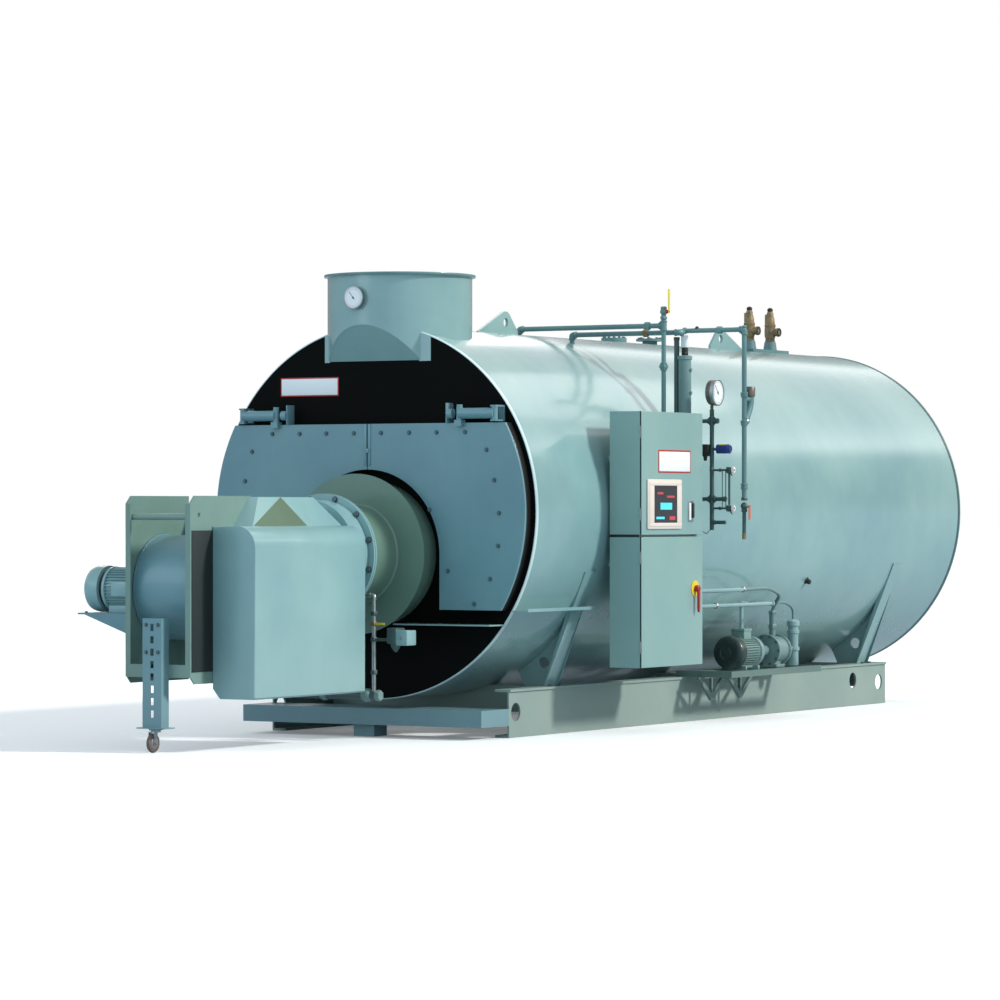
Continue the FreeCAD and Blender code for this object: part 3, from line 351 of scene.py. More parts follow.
@dataclass(frozen=True)
class Enamel:
    """Sprayed enamel with an orange-peel skin, tone drift, faint runs and floor dust."""

    name: str
    colour: Colour
    rough: float = 0.32
    drift: float = 0.10
    dust: float = 0.22
    peel: float = 0.16
    coat: float = 0.35
    tint: Colour = (0.86, 0.95, 1.02)
    skin_back: float | None = None
    specular: float = 0.5

    def material(self) -> bpy.types.Material:
        """Build the material."""
        shader = Shader(self.name)
        broad = shader.noise(0.9, 4.0)
        runs = shader.noise(3.0, 3.0, shader.stretched((3.2, 3.2, 0.35)))
        grain = shader.noise(38.0, 4.0)
        height = shader.axis("Z")
        low = (1.0 - height * 0.9).clamped()
        dusty = (low * (grain * 0.8 + 0.35) * self.dust).clamped()
        shade = tuple(a * b for a, b in zip(self.colour, self.tint))
        dark = tuple(c * (1 - self.drift) for c in shade)
        light = tuple(min(1.0, c * (1 + self.drift * 0.7)) for c in self.colour)
        tone = shader.mix(broad.step(0.34, 0.68), dark, light)
        tone = shader.mix((runs.step(0.56, 0.78) * self.drift).clamped(), tone,
                          tuple(c * 0.72 for c in shade))
        tone = shader.mix((grain.step(0.62, 0.80) * 0.10).clamped(), tone,
                          tuple(min(1.0, c * 1.25) for c in self.colour))
        tone = shader.mix(dusty, tone, (0.34, 0.33, 0.29))
        if self.skin_back is not None:
            behind = shader.axis("Y").step(self.skin_back - 0.002, self.skin_back + 0.002)
            tone = shader.mix(behind, tone, (0.006, 0.006, 0.006))
        skin = shader.noise(190.0, 2.0)
        relief = skin * 0.5 + broad * 2.0
        shader.set(Base_Color=tone,
                   Roughness=(broad * 0.12 + dusty * 0.5 + (self.rough - 0.05)).clamped(),
                   Coat_Weight=self.coat, Coat_Roughness=0.12,
                   Specular_IOR_Level=self.specular,
                   Normal=shader.bump(relief, self.peel, 0.0012))
        return shader.material


@dataclass(frozen=True)
class Metal:
    """Bare, plated or cast metal with tarnish and fine scratches."""

    name: str
    colour: Colour
    rough: float = 0.35
    tarnish: Colour = (0.10, 0.09, 0.07)
    amount: float = 0.35
    pitting: float = 0.25
    metallic: float = 1.0

    def material(self) -> bpy.types.Material:
        """Build the material."""
        shader = Shader(self.name)
        patches = shader.noise(16.0, 5.0)
        fine = shader.noise(140.0, 3.0)
        scratches = shader.noise(60.0, 2.0, shader.stretched((1.0, 1.0, 14.0)))
        spots = (patches.step(0.46, 0.70) * self.amount).clamped()
        tone = shader.mix(spots, self.colour, self.tarnish)
        tone = shader.mix((fine.step(0.5, 0.8) * 0.25).clamped(), tone,
                          tuple(min(1.0, c * 1.4) for c in self.colour))
        rough = (spots * 0.35 + scratches * 0.16 + (self.rough - 0.06)).clamped()
        shader.set(Base_Color=tone, Roughness=rough,
                   Metallic=(self.metallic - spots * 0.5 * self.metallic).clamped(),
                   Normal=shader.bump(fine * 0.6 + patches, self.pitting, 0.0012))
        return shader.material


@dataclass(frozen=True)
class Moulded:
    """Moulded plastic, rubber or hose with a pebbled skin and scuffs."""

    name: str
    colour: Colour
    rough: float = 0.5
    scuff: float = 0.15
    pebble: float = 0.2

    def material(self) -> bpy.types.Material:
        """Build the material."""
        shader = Shader(self.name)
        skin = shader.noise(260.0, 2.0)
        wear = shader.noise(9.0, 5.0)
        pale = tuple(min(1.0, c * 1.3 + 0.03) for c in self.colour)
        tone = shader.mix((wear.step(0.50, 0.72) * self.scuff).clamped(), self.colour, pale)
        tone = shader.mix((skin.step(0.6, 0.8) * 0.12).clamped(), tone,
                          tuple(c * 0.6 for c in self.colour))
        shader.set(Base_Color=tone,
                   Roughness=(wear * 0.2 + (self.rough - 0.08)).clamped(),
                   Normal=shader.bump(skin, self.pebble, 0.0008))
        return shader.material


@dataclass(frozen=True)
class Screen:
    """Dark glass of the operator panel, faintly lit."""

    name: str
    colour: Colour
    glow: float = 0.0

    def material(self) -> bpy.types.Material:
        """Build the material."""
        shader = Shader(self.name)
        smear = shader.noise(22.0, 4.0)
        tone = shader.mix((smear.step(0.45, 0.8) * 0.2).clamped(), self.colour,
                          tuple(min(1.0, c * 1.5 + 0.01) for c in self.colour))
        shader.set(Base_Color=tone, Roughness=(smear * 0.2 + 0.05).clamped(),
                   Emission_Color=self.colour, Emission_Strength=self.glow,
                   Coat_Weight=0.6, Coat_Roughness=0.05)
        return shader.material


SHELL_PAINT = Enamel("shell_paint", srgb(138, 170, 166), rough=0.24, coat=0.7)
BODY_PAINT = Enamel("body_paint", srgb(138, 172, 170), rough=0.30, coat=0.5)
# A darker, bluer copy of the body paint: painted shade for the doors and the other parts at the burner end, which face
# away from the key light. The door skin takes the same colour.
SHADED_BODY_PAINT = Enamel("body_paint_painted_shade", srgb(106, 144, 150), rough=0.36, drift=0.12)
SHADED_DOOR_SKIN = Enamel("door_skin", srgb(106, 144, 150), rough=0.36, drift=0.12, skin_back=-0.076)
RING_PAINT = Enamel("ring_paint", srgb(104, 132, 118), rough=0.36, drift=0.12,
                    tint=(0.96, 1.0, 0.96))
# Pale paint for the jacket's front rim: a painted highlight for the light that catches the rim's edge.
RIM_HIGHLIGHT_PAINT = Enamel("painted_rim_highlight", srgb(214, 230, 226), rough=0.3, drift=0.2)
# Near-black paint for a panel on the fan frame's right cheek: painted shade where the air box shades the cheek.
SHADE_PANEL_PAINT = Enamel("painted_shade_panel", srgb(20, 32, 32), rough=0.7, drift=0.3, dust=0.02, coat=0.0)
FAN_PAINT = Enamel("fan_paint", srgb(112, 140, 132), rough=0.36, drift=0.16,
                   tint=(0.98, 1.0, 0.90))
# Darker olive for one triangular facet of the air box hump: painted shade of how that facet takes the light.
FACET_SHADE_PAINT = Enamel("painted_facet_shade", srgb(84, 106, 84), rough=0.5, drift=0.18, coat=0.1,
               tint=(0.98, 1.0, 0.86))
RAIL_PAINT = Enamel("rail_paint", srgb(136, 157, 146), rough=0.48, dust=0.4, coat=0.15)
CABINET_PAINT = Enamel("cabinet_paint", srgb(143, 172, 162), rough=0.36, drift=0.05,
                       dust=0.08)
PIPE_PAINT = Enamel("pipe_paint", srgb(96, 132, 130), rough=0.42, drift=0.18, dust=0.1)
DARK_PIPE = Enamel("dark_pipe", srgb(58, 84, 80), rough=0.45, drift=0.2, dust=0.1)
BLACK_PLATE = Enamel("black_plate", srgb(7, 7, 5), rough=0.75, drift=0.3, dust=0.008,
                     coat=0.0, specular=0.10)
# Deck paint, darker than the pipe paint partly as painted shade under the pump set.
DECK_AND_SHADE_PAINT = Enamel("deck_paint_and_painted_shade", srgb(84, 110, 102), rough=0.5, dust=0.2)
PUMP_PAINT = Enamel("pump_paint", srgb(108, 138, 134), rough=0.45, drift=0.2)
COWL_PAINT = Enamel("cowl_paint", srgb(26, 48, 44), rough=0.45, drift=0.2, dust=0.02)
SILVER = Metal("plated_steel", srgb(176, 180, 178), rough=0.3)
BOLT_STEEL = Metal("bolt_steel", srgb(88, 108, 112), rough=0.42, amount=0.5, metallic=0.6)
BRONZE = Metal("cast_bronze", srgb(146, 124, 92), rough=0.48, amount=0.6, pitting=0.6,
               tarnish=(0.07, 0.05, 0.035), metallic=0.55)
IRON = Metal("dark_iron", srgb(44, 46, 44), rough=0.55, amount=0.4, metallic=0.4)
BLACK_RUBBER = Moulded("black_rubber", srgb(24, 24, 24), rough=0.6)
TREAD = Moulded("wheel_tread", srgb(104, 84, 80), rough=0.55, scuff=0.3)
CREAM = Moulded("cream_bezel", srgb(226, 212, 200), rough=0.4, scuff=0.05)
CASE = Metal("case_steel", srgb(112, 106, 96), rough=0.4, amount=0.4, metallic=0.6)
WHITE = Moulded("white_face", srgb(238, 239, 238), rough=0.3, scuff=0.03, pebble=0.05)
RED = Moulded("red_enamel", srgb(176, 36, 34), rough=0.35, scuff=0.08)
YELLOW = Moulded("yellow_enamel", srgb(226, 202, 48), rough=0.38, scuff=0.08)
ORANGE = Moulded("orange_sleeve", srgb(206, 104, 66), rough=0.45, scuff=0.1)
BLUE = Moulded("blue_housing", srgb(28, 52, 118), rough=0.4, scuff=0.08)
GLASS = Screen("dark_glass", srgb(14, 16, 24))
CYAN = Screen("cyan_field", srgb(70, 205, 225), glow=0.35)
ROSE = Screen("red_field", srgb(190, 50, 60), glow=0.2)


def finish_of(finish: object) -> bpy.types.Material:
    """The material of a finish, built once."""
    if finish not in _MADE:
        _MADE[finish] = finish.material()
    return _MADE[finish]


# ------------------------------------------------------------------ mesh building
def rounded(points: Sequence[Triple], bend: float, steps: int = 6) -> list[Vector]:
    """A path whose corners are turned by arcs.

    Args:
        points: the corners.
        bend: how far from a corner its arc starts.
        steps: pieces in each arc.

    Returns:
        The points of the smoothed path.
    """
    corners = [Vector(p) for p in points]
    path = [corners[0]]
    for before, corner, after in zip(corners, corners[1:], corners[2:]):
        inward = min(bend, (corner - before).length * 0.45)
        outward = min(bend, (after - corner).length * 0.45)
        start = corner + (before - corner).normalized() * inward
        end = corner + (after - corner).normalized() * outward
        for index in range(steps + 1):
            t = index / steps
            path.append(start * (1 - t) ** 2 + corner * 2 * t * (1 - t) + end * t ** 2)
    path.append(corners[-1])
    return path


class Form:
    """A mesh under construction, in the boiler's own frame."""

    def __init__(self, finish: object) -> None:
        """Start empty with one finish."""
        self.mesh = bmesh.new()
        self.finishes = [finish]
        self.current = 0

    def use(self, finish: object) -> "Form":
        """Give the faces that follow another finish."""
        if finish not in self.finishes:
            self.finishes.append(finish)
        self.current = self.finishes.index(finish)
        return self

    def _face(self, corners: Sequence[bmesh.types.BMVert]) -> None:
        """Add one face in the current finish."""
        try:
            self.mesh.faces.new(corners).material_index = self.current
        except ValueError:
            LOG.debug("a face is there already")

    def box(self, low: Triple, high: Triple, chamfer: float = 0.0) -> "Form":
        """A box between two corners, with its edges taken off by chamfer."""
        made = bmesh.ops.create_cube(self.mesh, size=1.0)["verts"]
        size = Vector(high) - Vector(low)
        middle = (Vector(high) + Vector(low)) / 2
        for vert in made:
            vert.co = Vector(a * b for a, b in zip(vert.co, size)) + middle
        faces = {face for vert in made for face in vert.link_faces}
        for face in faces:
            face.material_index = self.current
        if chamfer:
            edges = list({edge for vert in made for edge in vert.link_edges})
            result = bmesh.ops.bevel(self.mesh, geom=edges, offset=chamfer, segments=2,
                                     profile=0.5, affect="EDGES", clamp_overlap=True)
            for face in result["faces"]:
                face.material_index = self.current
        return self

    def lathe(self, start: Triple, axis: Axis | Vector, profile: Sequence[tuple[float, float]],
              sides: int = 32, ring: bool = False) -> "Form":
        """A turned solid.

        Args:
            start: the origin of the profile's heights.
            axis: the direction that heights run along.
            profile: (height, radius) from the low end to the high end.
            sides: facets round the axis.
            ring: the profile closes on itself instead of ending in caps.

        Returns:
            The form itself.
        """
        direction = (axis.vector if isinstance(axis, Axis) else Vector(axis)).normalized()
        turn = Vector((0, 0, 1)).rotation_difference(direction)
        origin = Vector(start)
        rings = []
        for height, radius in profile:
            loop = []
            for index in range(sides if radius > 1e-6 else 1):
                angle = 2 * math.pi * index / sides
                point = Vector((radius * math.cos(angle), radius * math.sin(angle), height))
                loop.append(self.mesh.verts.new(origin + turn @ point))
            rings.append(loop)
        for low, high in zip(rings, rings[1:] + (rings[:1] if ring else [])):
            for index in range(sides):
                after = (index + 1) % sides
                if len(low) == 1 and len(high) > 1:
                    self._face((low[0], high[after], high[index]))
                elif len(high) == 1 and len(low) > 1:
                    self._face((low[index], low[after], high[0]))
                elif len(low) > 1:
                    self._face((low[index], low[after], high[after], high[index]))
        if len(rings[0]) > 1 and not ring:
            self._face(rings[0][::-1])
        if len(rings[-1]) > 1 and not ring:
            self._face(rings[-1])
        return self

    def rod(self, start: Triple, end: Triple, radius: float, sides: int = 20,
            chamfer: float = 0.0) -> "Form":
        """A round bar between two points."""
        way = Vector(end) - Vector(start)
        size = way.length
        profile = [(0.0, radius), (size, radius)]
        if chamfer:
            profile = [(0.0, radius - chamfer), (chamfer, radius), (size - chamfer, radius),
                       (size, radius - chamfer)]
        return self.lathe(start, way, profile, sides)

    def nut(self, start: Triple, axis: Axis, radius: float, depth: float,
            chamfer: float = 0.15) -> "Form":
        """A six-sided union, nut or plug."""
        edge = depth * chamfer
        return self.lathe(start, axis, [(0, radius * 0.92), (edge, radius),
                                        (depth - edge, radius), (depth, radius * 0.92)], 6)

    def ball(self, centre: Triple, radius: float, sides: int = 20) -> "Form":
        """A sphere."""
        profile = [(-radius * math.cos(math.pi * i / 10), radius * math.sin(math.pi * i / 10))
                   for i in range(11)]
        profile[0], profile[-1] = (-radius, 0.0), (radius, 0.0)
        return self.lathe(centre, Axis.Z, profile, sides)

    def tube(self, points: Sequence[Triple], radius: float, bend: float = 0.05,
             sides: int = 14) -> "Form":
        """A round bar bent through points.

        Args:
            points: the corners of its run.
            radius: its radius.
            bend: size of the arcs at its corners.
            sides: facets round it.

        Returns:
            The form itself.
        """
        path = rounded(points, bend)
        rings = []
        side = None
        for index, point in enumerate(path):
            before = path[max(index - 1, 0)]
            after = path[min(index + 1, len(path) - 1)]
            way = (after - before).normalized()
            if side is None:
                side = way.orthogonal().normalized()
            side = (side - way * side.dot(way)).normalized()
            other = way.cross(side)
            rings.append([self.mesh.verts.new(point + radius * (
                side * math.cos(2 * math.pi * i / sides)
                + other * math.sin(2 * math.pi * i / sides))) for i in range(sides)])
        for low, high in zip(rings, rings[1:]):
            for index in range(sides):
                after = (index + 1) % sides
                self._face((low[index], low[after], high[after], high[index]))
        self._face(rings[0][::-1])
        self._face(rings[-1])
        return self

    def slab(self, outline: Sequence[tuple[float, float]], plane: Axis, low: float,
             high: float) -> "Form":
        """An outline pushed along an axis.

        Args:
            outline: corners in the plane's own order (YZ for X, XZ for Y, XY for Z).
            plane: the axis across the plane.
            low: where it starts on that axis.
            high: where it ends.

        Returns:
            The form itself.
        """
        def lift(point: tuple[float, float], along: float) -> Vector:
            """Corner of the outline at one end."""
            if plane is Axis.X:
                return Vector((along, point[0], point[1]))
            if plane is Axis.Y:
                return Vector((point[0], along, point[1]))
            return Vector((point[0], point[1], along))

        ends = [[self.mesh.verts.new(lift(p, along)) for p in outline] for along in (low, high)]
        count = len(outline)
        for index in range(count):
            after = (index + 1) % count
            self._face((ends[0][index], ends[0][after], ends[1][after], ends[1][index]))
        self._face(ends[0][::-1])
        self._face(ends[1])
        return self

    def run(self, points: Sequence[Triple], radius: float, fitting: object = None) -> "Form":
        """A screwed pipe run with a banded elbow at each turn.

        Args:
            points: its corners.
            radius: the pipe's radius.
            fitting: the finish of the elbows, the pipe's own by default.

        Returns:
            The form itself.
        """
        pipe = self.finishes[self.current]
        self.tube(points, radius, radius * 1.6)
        self.use(fitting or pipe)
        corners = [Vector(p) for p in points]
        for before, corner, after in zip(corners, corners[1:], corners[2:]):
            ways = [(before - corner).normalized(), (after - corner).normalized()]
            reach = radius * 1.9
            self.tube([corner + ways[0] * reach, corner, corner + ways[1] * reach],
                      radius * 1.24, radius * 1.6)
            for way in ways:
                self.lathe(corner + way * reach * 0.72, way,
                           [(0, radius * 1.3), (radius * 0.12, radius * 1.42),
                            (radius * 0.5, radius * 1.42), (radius * 0.62, radius * 1.1)], 14)
        return self.use(pipe)

    def tee(self, centre: Triple, ways: Iterable[Axis], radius: float) -> "Form":
        """A screwed tee or cross with a bead at each mouth."""
        for way in ways:
            self.lathe(centre, way, [(0, radius * 1.22), (radius * 1.3, radius * 1.22),
                                     (radius * 1.36, radius * 1.42),
                                     (radius * 1.9, radius * 1.42), (radius * 2.0, radius)], 14)
        return self

    def make(self, name: str, body: str, replaces: Iterable[str] = (), slot: str = "",
             crease: float = 35.0) -> bpy.types.Object:
        """Turn the form into a piece that rides on a body.

        Args:
            name: the piece's name.
            body: the body that it moves with.
            replaces: the plain nodes that it stands for.
            slot: the record's slot of its main finish.
            crease: edges sharper than this many degrees stay sharp.

        Returns:
            The piece.
        """
        mesh = self.mesh
        bmesh.ops.recalc_face_normals(mesh, faces=mesh.faces)
        limit = math.radians(crease)
        for face in mesh.faces:
            face.smooth = True
        for edge in mesh.edges:
            edge.smooth = len(edge.link_faces) == 2 and edge.calc_face_angle(0.0) < limit
        data = bpy.data.meshes.new(name)
        mesh.to_mesh(data)
        mesh.free()
        for finish in self.finishes:
            data.materials.append(finish_of(finish))
        piece = bpy.data.objects.new(name, data)
        bpy.context.scene.collection.objects.link(piece)
        return settle(piece, body, replaces, slot)


def settle(piece: bpy.types.Object, body: str, replaces: Iterable[str] = (),
           slot: str = "") -> bpy.types.Object:
    """Ride a finished piece on its body and hide the nodes that it stands for."""
    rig.ride(piece, body)
    for node in replaces:
        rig.replaces(piece, node)
    if slot:
        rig.slot(piece, slot)
    LOG.info("%s: %d faces on %s", piece.name, len(piece.data.polygons), body)
    return piece


# ------------------------------------------------------------------ repeated pieces
class Pattern:
    """Wraps a node tree so that its nodes and links are short to write."""

    def __init__(self, name: str, inputs: dict[str, str], source: bool = True) -> None:
        """Start a tree.

        Args:
            name: the tree's name.
            inputs: socket names and their types.
            source: whether it takes geometry in.
        """
        self.tree = bpy.data.node_groups.new(name, "GeometryNodeTree")
        face = self.tree.interface
        if source:
            face.new_socket("Geometry", in_out="INPUT", socket_type="NodeSocketGeometry")
        for key, kind in inputs.items():
            face.new_socket(key, in_out="INPUT", socket_type=kind)
        face.new_socket("Geometry", in_out="OUTPUT", socket_type="NodeSocketGeometry")
        self.inputs = self.tree.nodes.new("NodeGroupInput")
        self.output = self.tree.nodes.new("NodeGroupOutput")

    def node(self, kind: str, settings: dict[str, object] | None = None,
             **sockets: object) -> bpy.types.Node:
        """Add a node; a socket's value may be a number or another socket."""
        made = self.tree.nodes.new(kind)
        for key, value in (settings or {}).items():
            setattr(made, key, value)
        for key, value in sockets.items():
            socket = made.inputs[key.replace("_", " ")]
            if isinstance(value, bpy.types.NodeSocket):
                self.tree.links.new(value, socket)
            else:
                socket.default_value = value
        return made

    def close(self, geometry: bpy.types.NodeSocket, material: bpy.types.NodeSocket) -> None:
        """Realize, paint and hand out the geometry."""
        real = self.node("GeometryNodeRealizeInstances", Geometry=geometry)
        paint = self.node("GeometryNodeSetMaterial", Geometry=real.outputs[0],
                          Material=material)
        self.tree.links.new(paint.outputs[0], self.output.inputs[0])

    def apply(self, carrier: bpy.types.Object, values: dict[str, object]) -> bpy.types.Mesh:
        """Run the tree on an object and return the plain mesh."""
        modifier = carrier.modifiers.new(self.tree.name, "NODES")
        modifier.node_group = self.tree
        for item in self.tree.interface.items_tree:
            if item.in_out == "INPUT" and item.name in values:
                modifier[item.identifier] = values[item.name]
        bpy.context.view_layer.update()
        graph = bpy.context.evaluated_depsgraph_get()
        mesh = bpy.data.meshes.new_from_object(carrier.evaluated_get(graph))
        carrier.modifiers.remove(modifier)
        return mesh


def fastener_pattern() -> Pattern:
    """Hexagon heads with washers on points that carry a facing vector."""
    pattern = Pattern("hex_heads", {"Across": "NodeSocketFloat", "Height": "NodeSocketFloat",
                                    "Washer": "NodeSocketFloat", "Seed": "NodeSocketInt",
                                    "Finish": "NodeSocketMaterial"})
    given = pattern.inputs.outputs
    head = pattern.node("GeometryNodeMeshCylinder", Vertices=6, Radius=given["Across"],
                        Depth=given["Height"])
    half = pattern.node("ShaderNodeMath", {"operation": "MULTIPLY"})
    pattern.tree.links.new(given["Height"], half.inputs[0])
    half.inputs[1].default_value = 0.75
    lift = pattern.node("ShaderNodeCombineXYZ", Z=half.outputs[0])
    raised = pattern.node("GeometryNodeTransform", Geometry=head.outputs[0],
                          Translation=lift.outputs[0])
    thin = pattern.node("ShaderNodeMath", {"operation": "MULTIPLY"})
    pattern.tree.links.new(given["Height"], thin.inputs[0])
    thin.inputs[1].default_value = 0.5
    washer = pattern.node("GeometryNodeMeshCylinder", Vertices=14, Radius=given["Washer"],
                          Depth=thin.outputs[0])
    both = pattern.node("GeometryNodeJoinGeometry")
    pattern.tree.links.new(washer.outputs[0], both.inputs[0])
    pattern.tree.links.new(raised.outputs[0], both.inputs[0])
    facing = pattern.node("GeometryNodeInputNamedAttribute", {"data_type": "FLOAT_VECTOR"},
                          Name="facing")
    turned = pattern.node("FunctionNodeAlignRotationToVector", {"axis": "Z"},
                          Vector=facing.outputs["Attribute"])
    spin = pattern.node("FunctionNodeRandomValue", {"data_type": "FLOAT"}, Seed=given["Seed"])
    sockets = [s for s in spin.inputs if s.name == "Max" and s.enabled]
    sockets[0].default_value = 1.05
    value = next(s for s in spin.outputs if s.enabled)
    euler = pattern.node("ShaderNodeCombineXYZ", Z=value)
    spun = pattern.node("FunctionNodeEulerToRotation", Euler=euler.outputs[0])
    rotation = pattern.node("FunctionNodeRotateRotation", {"rotation_space": "LOCAL"},
                            Rotation=turned.outputs[0], Rotate_By=spun.outputs[0])
    placed = pattern.node("GeometryNodeInstanceOnPoints", Points=given["Geometry"],
                          Instance=both.outputs[0], Rotation=rotation.outputs[0])
    pattern.close(placed.outputs[0], given["Finish"])
    return pattern


def rib_pattern() -> Pattern:
    """Flat bars set round a circle, pointing outwards, along Z."""
    pattern = Pattern("round_ribs", {"Count": "NodeSocketInt", "Radius": "NodeSocketFloat",
                                     "Depth": "NodeSocketFloat", "Width": "NodeSocketFloat",
                                     "Length": "NodeSocketFloat",
                                     "Finish": "NodeSocketMaterial"})
    given = pattern.inputs.outputs
    circle = pattern.node("GeometryNodeMeshCircle", Vertices=given["Count"],
                          Radius=given["Radius"])
    size = pattern.node("ShaderNodeCombineXYZ", X=given["Depth"], Y=given["Width"],
                        Z=given["Length"])
    bar = pattern.node("GeometryNodeMeshCube", Size=size.outputs[0])
    where = pattern.node("GeometryNodeInputPosition")
    turned = pattern.node("FunctionNodeAlignRotationToVector", {"axis": "X"},
                          Vector=where.outputs[0])
    placed = pattern.node("GeometryNodeInstanceOnPoints", Points=circle.outputs[0],
                          Instance=bar.outputs[0], Rotation=turned.outputs[0])
    pattern.close(placed.outputs[0], given["Finish"])
    return pattern


def hose_pattern() -> Pattern:
    """A ribbed hose along a curve, its ribs a set pitch apart."""
    pattern = Pattern("ribbed_hose", {"Radius": "NodeSocketFloat", "Pitch": "NodeSocketFloat",
                                      "Finish": "NodeSocketMaterial"})
    given = pattern.inputs.outputs
    sampled = pattern.node("GeometryNodeResampleCurve", {"mode": "LENGTH"},
                           Curve=given["Geometry"], Length=given["Pitch"])
    order = pattern.node("GeometryNodeInputIndex")
    parity = pattern.node("ShaderNodeMath", {"operation": "MODULO"})
    pattern.tree.links.new(order.outputs[0], parity.inputs[0])
    parity.inputs[1].default_value = 2.0
    swell = pattern.node("ShaderNodeMath", {"operation": "MULTIPLY_ADD"})
    pattern.tree.links.new(parity.outputs[0], swell.inputs[0])
    swell.inputs[1].default_value = 0.22
    swell.inputs[2].default_value = 0.84
    sized = pattern.node("GeometryNodeSetCurveRadius", Curve=sampled.outputs[0],
                         Radius=swell.outputs[0])
    ring = pattern.node("GeometryNodeCurvePrimitiveCircle", {"mode": "RADIUS"}, Resolution=10,
                        Radius=given["Radius"])
    swept = pattern.node("GeometryNodeCurveToMesh", Curve=sized.outputs[0],
                         Profile_Curve=ring.outputs[0], Fill_Caps=True)
    pattern.close(swept.outputs[0], given["Finish"])
    return pattern


class Hardware:
    """Makes bolts, ribs and hoses from the three patterns."""

    def __init__(self) -> None:
        """Build the trees."""
        self.heads = fastener_pattern()
        self.ribs = rib_pattern()
        self.hoses = hose_pattern()

    def bolts(self, name: str, body: str, spots: Sequence[tuple[Triple, Triple]],
              across: float, finish: object = BOLT_STEEL, seed: int = 3) -> bpy.types.Object:
        """Hexagon heads at spots.

        Args:
            name: the piece's name.
            body: the body that it moves with.
            spots: (point, facing) pairs.
            across: radius of a head.
            finish: its finish.
            seed: seed of the heads' turns.

        Returns:
            The piece.
        """
        points = bpy.data.meshes.new(f"{name}_points")
        points.from_pydata([tuple(p) for p, _ in spots], [], [])
        facing = points.attributes.new("facing", "FLOAT_VECTOR", "POINT")
        for index, (_, way) in enumerate(spots):
            facing.data[index].vector = tuple(way)
        piece = bpy.data.objects.new(name, points)
        bpy.context.scene.collection.objects.link(piece)
        mesh = self.heads.apply(piece, {"Across": across, "Height": across * 0.8,
                                        "Washer": across * 1.35, "Seed": seed,
                                        "Finish": finish_of(finish)})
        piece.data = mesh
        return settle(piece, body)

    def fins(self, name: str, body: str, centre: Triple, axis: Axis, count: int,
             radius: float, depth: float, width: float, length: float,
             finish: object) -> bpy.types.Object:
        """Bars round a barrel, centred on a point of its axis.

        Args:
            name: the piece's name.
            body: the body that it moves with.
            centre: the middle of the barrel.
            axis: the barrel's axis.
            count: how many bars.
            radius: circle that the bars' middles lie on.
            depth: how tall each stands.
            width: how thick each is.
            length: how long each is.
            finish: their finish.

        Returns:
            The piece.
        """
        piece = bpy.data.objects.new(name, bpy.data.meshes.new(f"{name}_seed"))
        bpy.context.scene.collection.objects.link(piece)
        mesh = self.ribs.apply(piece, {"Count": count, "Radius": radius, "Depth": depth,
                                       "Width": width, "Length": length,
                                       "Finish": finish_of(finish)})
        turn = Vector((0, 0, 1)).rotation_difference(axis.vector).to_matrix().to_4x4()
        mesh.transform(Matrix.Translation(Vector(centre)) @ turn)
        piece.data = mesh
        return settle(piece, body)

    def hose(self, name: str, body: str, points: Sequence[Triple], radius: float,
             finish: object, pitch: float = 0.006) -> bpy.types.Object:
        """A ribbed conduit through points."""
        curve = bpy.data.curves.new(f"{name}_line", "CURVE")
        curve.dimensions = "3D"
        path = rounded(points, 0.16, 10)
        spline = curve.splines.new("POLY")
        spline.points.add(len(path) - 1)
        for point, where in zip(spline.points, path):
            point.co = (*where, 1.0)
        carrier = bpy.data.objects.new(f"{name}_line", curve)
        bpy.context.scene.collection.objects.link(carrier)
        mesh = self.hoses.apply(carrier, {"Radius": radius, "Pitch": pitch,
                                          "Finish": finish_of(finish)})
        bpy.data.objects.remove(carrier)
        mesh.shade_smooth()
        piece = bpy.data.objects.new(name, mesh)
        bpy.context.scene.collection.objects.link(piece)
        return settle(piece, body)


def circle_spots(centre: Triple, axis: Axis, radius: float, count: int,
                 phase: float = 0.0) -> list[tuple[Vector, Vector]]:
    """Points on a bolt circle, facing along its axis."""
    turn = Vector((0, 0, 1)).rotation_difference(axis.vector)
    spots = []
    for index in range(count):
        angle = phase + 2 * math.pi * index / count
        point = turn @ Vector((radius * math.cos(angle), radius * math.sin(angle), 0.0))
        spots.append((Vector(centre) + point, axis.vector))
    return spots


# ------------------------------------------------------------------ sub-assemblies
@dataclass
class Shell:
    """Jacket, end plates, their rims and the black plate's bare nameplate."""

    radius: float = 1.400
    axis_height: float = 1.672
    front: float = 0.0
    rear: float = 7.510

    def build(self, hardware: Hardware) -> None:
        """Make the rims, the jacket's bands and the nameplate."""
        # The front rim is painted pale as a painted highlight on its edge.
        rim = Form(RIM_HIGHLIGHT_PAINT)
        rim.lathe((0, self.front - 0.003, self.axis_height), Axis.Y,
                  [(0.000, self.radius - 0.005), (0.000, self.radius - 0.001),
                   (0.004, self.radius + 0.0036), (0.030, self.radius + 0.0036),
                   (0.032, self.radius + 0.0005), (0.030, self.radius - 0.004),
                   (0.006, self.radius - 0.006)], 160, ring=True)
        rim.make("jacket_front_rim", "root")
        bands = Form(DARK_PIPE)
        bands.lathe((0, self.rear - 0.016, self.axis_height), Axis.Y,
                    [(-0.030, self.radius + 0.0004), (-0.028, self.radius + 0.0034),
                     (0.0155, self.radius + 0.0036), (0.0158, self.radius - 0.004)], 160,
                    ring=True)
        bands.make("jacket_rear_band", "root")
        plate = Form(RED)
        plate.box((-0.839, -0.0045, 2.545), (-0.316, -0.0002, 2.688), 0.002)
        plate.use(WHITE).box((-0.829, -0.0065, 2.555), (-0.326, -0.0040, 2.678), 0.001)
        plate.make("front_nameplate", "root")


